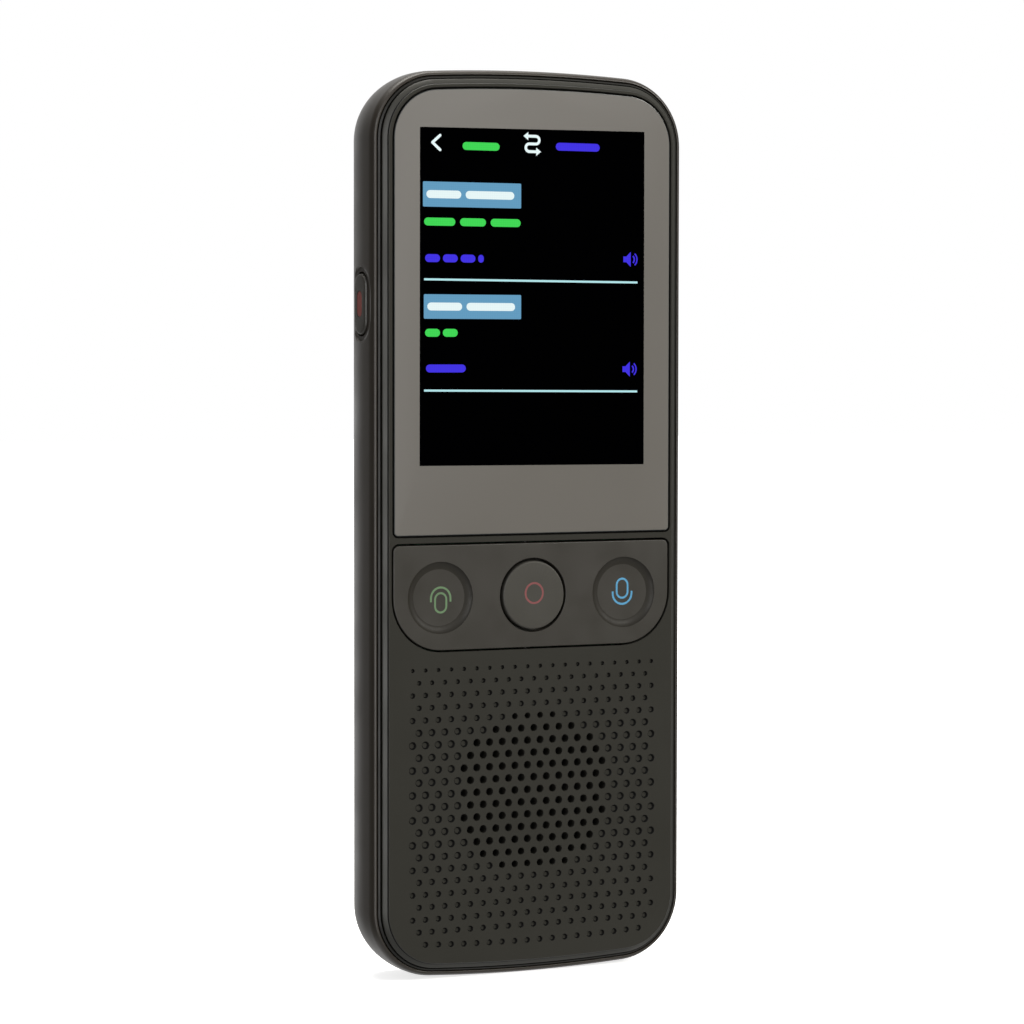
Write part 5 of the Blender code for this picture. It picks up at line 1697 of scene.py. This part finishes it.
@dataclass
class PowerButton:
    """The long button in the left wall, with a red stripe let into its face."""

    form: Form
    opening: SideOpening
    sunk: float = 0.18
    wide: float = 3.9
    long: float = 8.9
    edge: float = 0.45
    inlay_wide: float = 1.7
    inlay_long: float = 3.8
    inlay_depth: float = 0.3
    stripe_crown: Sequence[Point] = ((0.24, 0.0), (0.1, 0.02), (0.0, 0.08))
    gap: float = 0.05
    flange_wide: float = 4.5
    flange_long: float = 10.7
    flange_in: float = 1.83
    flange_thick: float = 0.5
    steps: int = 24

    def cap(self, face: float) -> None:
        """Makes the cap, its rounded edge, the seat of the stripe and the flange.

        Args:
            face: How far to the left the cap's face lies.
        """
        middle, steps = self.opening.middle, self.steps
        levels = []
        for s, c in quarter(EDGE_STEPS):
            inset = 2 * self.edge * (1 - s)
            rounded = pill(middle, self.wide - inset, self.long - inset, steps)
            levels.append((rounded, face + self.edge * (1 - c)))
        start = face - self.sunk + self.flange_in
        flange = pill(middle, self.flange_wide, self.flange_long, steps)
        side = pill(middle, self.wide, self.long, steps)
        levels += [(side, start), (flange, start), (flange, start + self.flange_thick)]
        maker = Maker()
        maker.rings(levels, Facing.LEFT)
        maker.lid(*levels[-1], Facing.LEFT)
        seat = pill(middle, self.inlay_wide, self.inlay_long)
        maker.sheet(levels[0][0], face, [seat], facing=Facing.LEFT)
        maker.rings([(seat, face), (seat, face + self.inlay_depth)], Facing.LEFT)
        maker.lid(seat, face + self.inlay_depth, Facing.LEFT)
        hand_over(maker.build("power_cap"), [Finishes.KEY], Body.POWER, "side_button")

    def stripe(self, face: float) -> None:
        """Makes the red stripe, slightly crowned.

        Args:
            face: How far to the left the cap's face lies.
        """
        wide, long = self.inlay_wide - 2 * self.gap, self.inlay_long - 2 * self.gap
        middle, crown = self.opening.middle, [*self.stripe_crown, (0.0, self.inlay_depth - self.gap)]
        maker = Maker()
        maker.block([(pill(middle, wide - less, long - less), face + depth) for less, depth in crown], Facing.LEFT)
        hand_over(maker.build("power_stripe"), [Finishes.RED], Body.POWER, "side_button_inlay")

    def build(self) -> None:
        """Makes the cap and its stripe."""
        face = -self.form.face_half - self.form.swell + self.sunk
        self.cap(face)
        self.stripe(face)


@dataclass
class InnerParts:
    """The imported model's own nodes that stay in view, each with the finish of its slot."""

    nodes: Mapping[str, bpy.types.Object]
    record: Mapping[str, Any]
    special: Mapping[str, Finish] = field(default_factory=lambda: {"usb_shell": Finishes.PORT})

    def dress(self) -> None:
        """Puts a finish on every node, also on those that a finer piece stands for."""
        for entry in self.record["subparts"]:
            name, slot = entry["node"], entry["material_slot"]
            finish = self.special.get(name, Finishes.BY_SLOT[slot])
            for material_slot in self.nodes[name].material_slots:
                material_slot.material = finish.material()
        LOG.info("%d packed nodes dressed", len(self.record["subparts"]))


# Studio


class Lamp(Enum):
    """The soft lamps: place and target in metres, width and height in metres, and power in watts."""

    KEY = ((0.62, -0.69, 0.50), (0.0, 0.0, 0.07), (0.35, 0.35), 6.6)
    TOP = ((0.0, 0.16, 0.85), (0.0, 0.0, 0.07), (0.6, 0.3), 6.0)


@dataclass(frozen=True)
class Board:
    """A board that only the object's shine shows, as a stretch of a standing drum round it, in metres.

    Its ends are turns in degrees from straight behind towards the left. Its light is the one at the middle of the
    ground, which changes across and up per metre and never passes a peak.
    """

    name: str
    radius: float
    ends: tuple[float, float]
    heights: tuple[float, float]
    light: float
    across: float = 0.0
    rise: float = 0.0
    peak: float = 1.0
    steps: int = 12

    def glow(self) -> bpy.types.Material:
        """Makes the board's light.

        Returns:
            The material.
        """
        material, tree = bare_material(self.name)
        place = add_node(tree, "TexCoord").outputs["Object"]
        change = add_node(tree, "VectorMath", {1: (self.across, 0.0, self.rise)}, {0: place}, operation="DOT_PRODUCT")
        total = maths(tree, "ADD", change.outputs["Value"], self.light)
        light = add_node(tree, "Clamp", {"Max": self.peak}, {"Value": total}).outputs[0]
        glow = add_node(tree, "Emission", {"Color": WHITE}, {"Strength": light})
        add_node(tree, "OutputMaterial", {}, {"Surface": glow.outputs[0]})
        return material

    def build(self) -> None:
        """Stands the board up."""
        maker = Maker()
        columns = []
        for i in range(self.steps + 1):
            turn = math.radians(self.ends[0] + (self.ends[1] - self.ends[0]) * i / self.steps)
            x, y = -self.radius * math.sin(turn), self.radius * math.cos(turn)
            columns.append([maker.mesh.verts.new((x, y, z)) for z in self.heights])
        for near, far in zip(columns, columns[1:]):
            maker.mesh.faces.new((near[0], far[0], far[1], near[1]))
        card = maker.build("board_" + self.name)
        card.data.materials.append(self.glow())
        card.visible_camera = False
        card.visible_diffuse = False
        card.visible_shadow = False


def bare_material(name: str) -> tuple[bpy.types.Material, Tree]:
    """A new material with its empty node tree."""
    material = bpy.data.materials.new(name)
    material.use_nodes = True
    material.node_tree.nodes.clear()
    return material, material.node_tree


@dataclass
class Studio:
    """The plain studio: a pale floor, a white surround, soft lamps, boards and the camera."""

    camera_place: tuple[float, float, float] = (-0.24443, -0.48102, 0.09142)
    camera_turn: float = 26.9
    camera_drop: float = 2.51
    camera_roll: float = 0.08
    lens: float = 128.2
    surround: float = 0.42
    floor_half: float = 3.0
    floor_steps: int = 12
    glow_near: float = 0.72
    glow_reach: tuple[float, float] = (0.12, 0.6)
    warm_light: str = "#FFFCF5"
    boards: Sequence[Board] = (
        Board("behind_left", 1.2, (13.0, 117.0), (-0.8, 1.2), 0.24),
        Board("beside_right", 1.2, (-110.0, -60.0), (-0.8, 1.2), 0.36),
        Board("front_left", 1.15, (119.0, 156.0), (-0.5, 0.8), 5.7, peak=9.0),
        Board("front_right", 1.1, (-175.0, -130.0), (-0.35, 0.25), 4.1, across=-8.6, rise=4.4),
    )

    def seen(self, tree: Tree) -> Socket:
        """1 for rays from the camera, off a shiny surface or through glass, and 0 for the rest."""
        path = add_node(tree, "LightPath").outputs
        either = maths(tree, "MAXIMUM", path["Is Camera Ray"], path["Is Glossy Ray"])
        return maths(tree, "MAXIMUM", either, path["Is Transmission Ray"])

    def world(self) -> None:
        """A white background over a weaker even light."""
        world = bpy.data.worlds.new("studio")
        world.use_nodes = True
        tree = world.node_tree
        tree.nodes.clear()
        spread = add_node(tree, "MapRange", {"To Min": self.surround, "To Max": 1.0}, {"Value": self.seen(tree)})
        light = add_node(tree, "Background", {"Color": WHITE}, {"Strength": spread.outputs["Result"]})
        add_node(tree, "OutputWorld", {}, {"Surface": light.outputs[0]})
        bpy.context.scene.world = world

    def paper(self) -> bpy.types.Material:
        """White paper that glows for the camera, less so near the object.

        Returns:
            The material.
        """
        material, tree = bare_material("white_paper")
        paper = add_node(tree, "BsdfDiffuse", {"Color": linear("#F2F2F2")})
        place = add_node(tree, "TexCoord").outputs["Object"]
        reach = add_node(tree, "VectorMath", {}, {0: place}, operation="LENGTH").outputs["Value"]
        near, far = self.glow_reach
        limits = {"From Min": near, "From Max": far, "To Min": self.glow_near, "To Max": 1.0}
        level = add_node(tree, "MapRange", limits, {"Value": reach}).outputs["Result"]
        share = maths(tree, "MULTIPLY", self.seen(tree), level)
        glow = add_node(tree, "Emission", {"Color": WHITE}, {"Strength": share})
        total = add_node(tree, "AddShader", {}, {0: paper.outputs[0], 1: glow.outputs[0]})
        add_node(tree, "OutputMaterial", {}, {"Surface": total.outputs[0]})
        return material

    def floor(self) -> None:
        """A pale floor in even squares that shows white and keeps the object's shadow."""
        half, steps = self.floor_half, self.floor_steps
        rows = [-half + 2 * half * i / steps for i in range(steps + 1)]
        maker = Maker()
        for left, right in zip(rows, rows[1:]):
            for near, far in zip(rows, rows[1:]):
                corners = ((left, near), (right, near), (right, far), (left, far))
                maker.mesh.faces.new([maker.mesh.verts.new((x, y, 0.0)) for x, y in corners])
        floor = maker.build("studio_floor")
        floor.data.materials.append(self.paper())
        floor.visible_diffuse = False
        floor.visible_glossy = False

    def lamps(self) -> None:
        """Large area lamps, each turned to the object."""
        for lamp in Lamp:
            place, target, size, power = lamp.value
            data = bpy.data.lights.new("lamp_" + lamp.name.lower(), "AREA")
            data.shape = "RECTANGLE"
            data.size, data.size_y = size
            data.energy = power
            data.color = linear(self.warm_light)[:3]
            light = bpy.data.objects.new(data.name, data)
            light.location = place
            light.rotation_euler = (Vector(target) - Vector(place)).to_track_quat("-Z", "Y").to_euler()
            bpy.context.scene.collection.objects.link(light)

    def camera(self) -> None:
        """The camera at the photograph's angle."""
        turn, drop = math.radians(self.camera_turn), math.radians(self.camera_drop)
        ahead = Vector((math.sin(turn) * math.cos(drop), math.cos(turn) * math.cos(drop), -math.sin(drop)))
        right = ahead.cross(Vector((0.0, 0.0, 1.0))).normalized()
        up = right.cross(ahead)
        roll = math.radians(self.camera_roll)
        right, up = right * math.cos(roll) + up * math.sin(roll), up * math.cos(roll) - right * math.sin(roll)
        data = bpy.data.cameras.new("camera")
        data.lens = self.lens
        camera = bpy.data.objects.new("camera", data)
        pose = Matrix((right, up, -ahead)).transposed().to_4x4()
        pose.translation = Vector(self.camera_place)
        camera.matrix_world = pose
        bpy.context.scene.collection.objects.link(camera)
        bpy.context.scene.camera = camera

    def build(self) -> None:
        """Sets the view transform and builds the whole studio."""
        bpy.context.scene.view_settings.view_transform = "Standard"
        self.camera()
        self.world()
        self.floor()
        for board in self.boards:
            board.build()
        self.lamps()
        LOG.info("studio ready")


def main() -> None:
    """Builds the studio, dresses the imported model's nodes, then builds the device's pieces in order."""
    logging.basicConfig(level=logging.INFO, format="%(name)s: %(message)s")
    Studio().build()
    InnerParts(frame["nodes"], frame["record"]).dress()
    form, opening = Form(), SideOpening()
    FrontHousing(form, Grille()).build()
    TrimRing(form).build()
    RearHousing(form, opening).build()
    CoverGlass(form, Screen()).build()
    KeyPlate(form).build()
    TalkButton(form).build()
    PowerButton(form, opening).build()


if __name__ == "__main__":
    main()
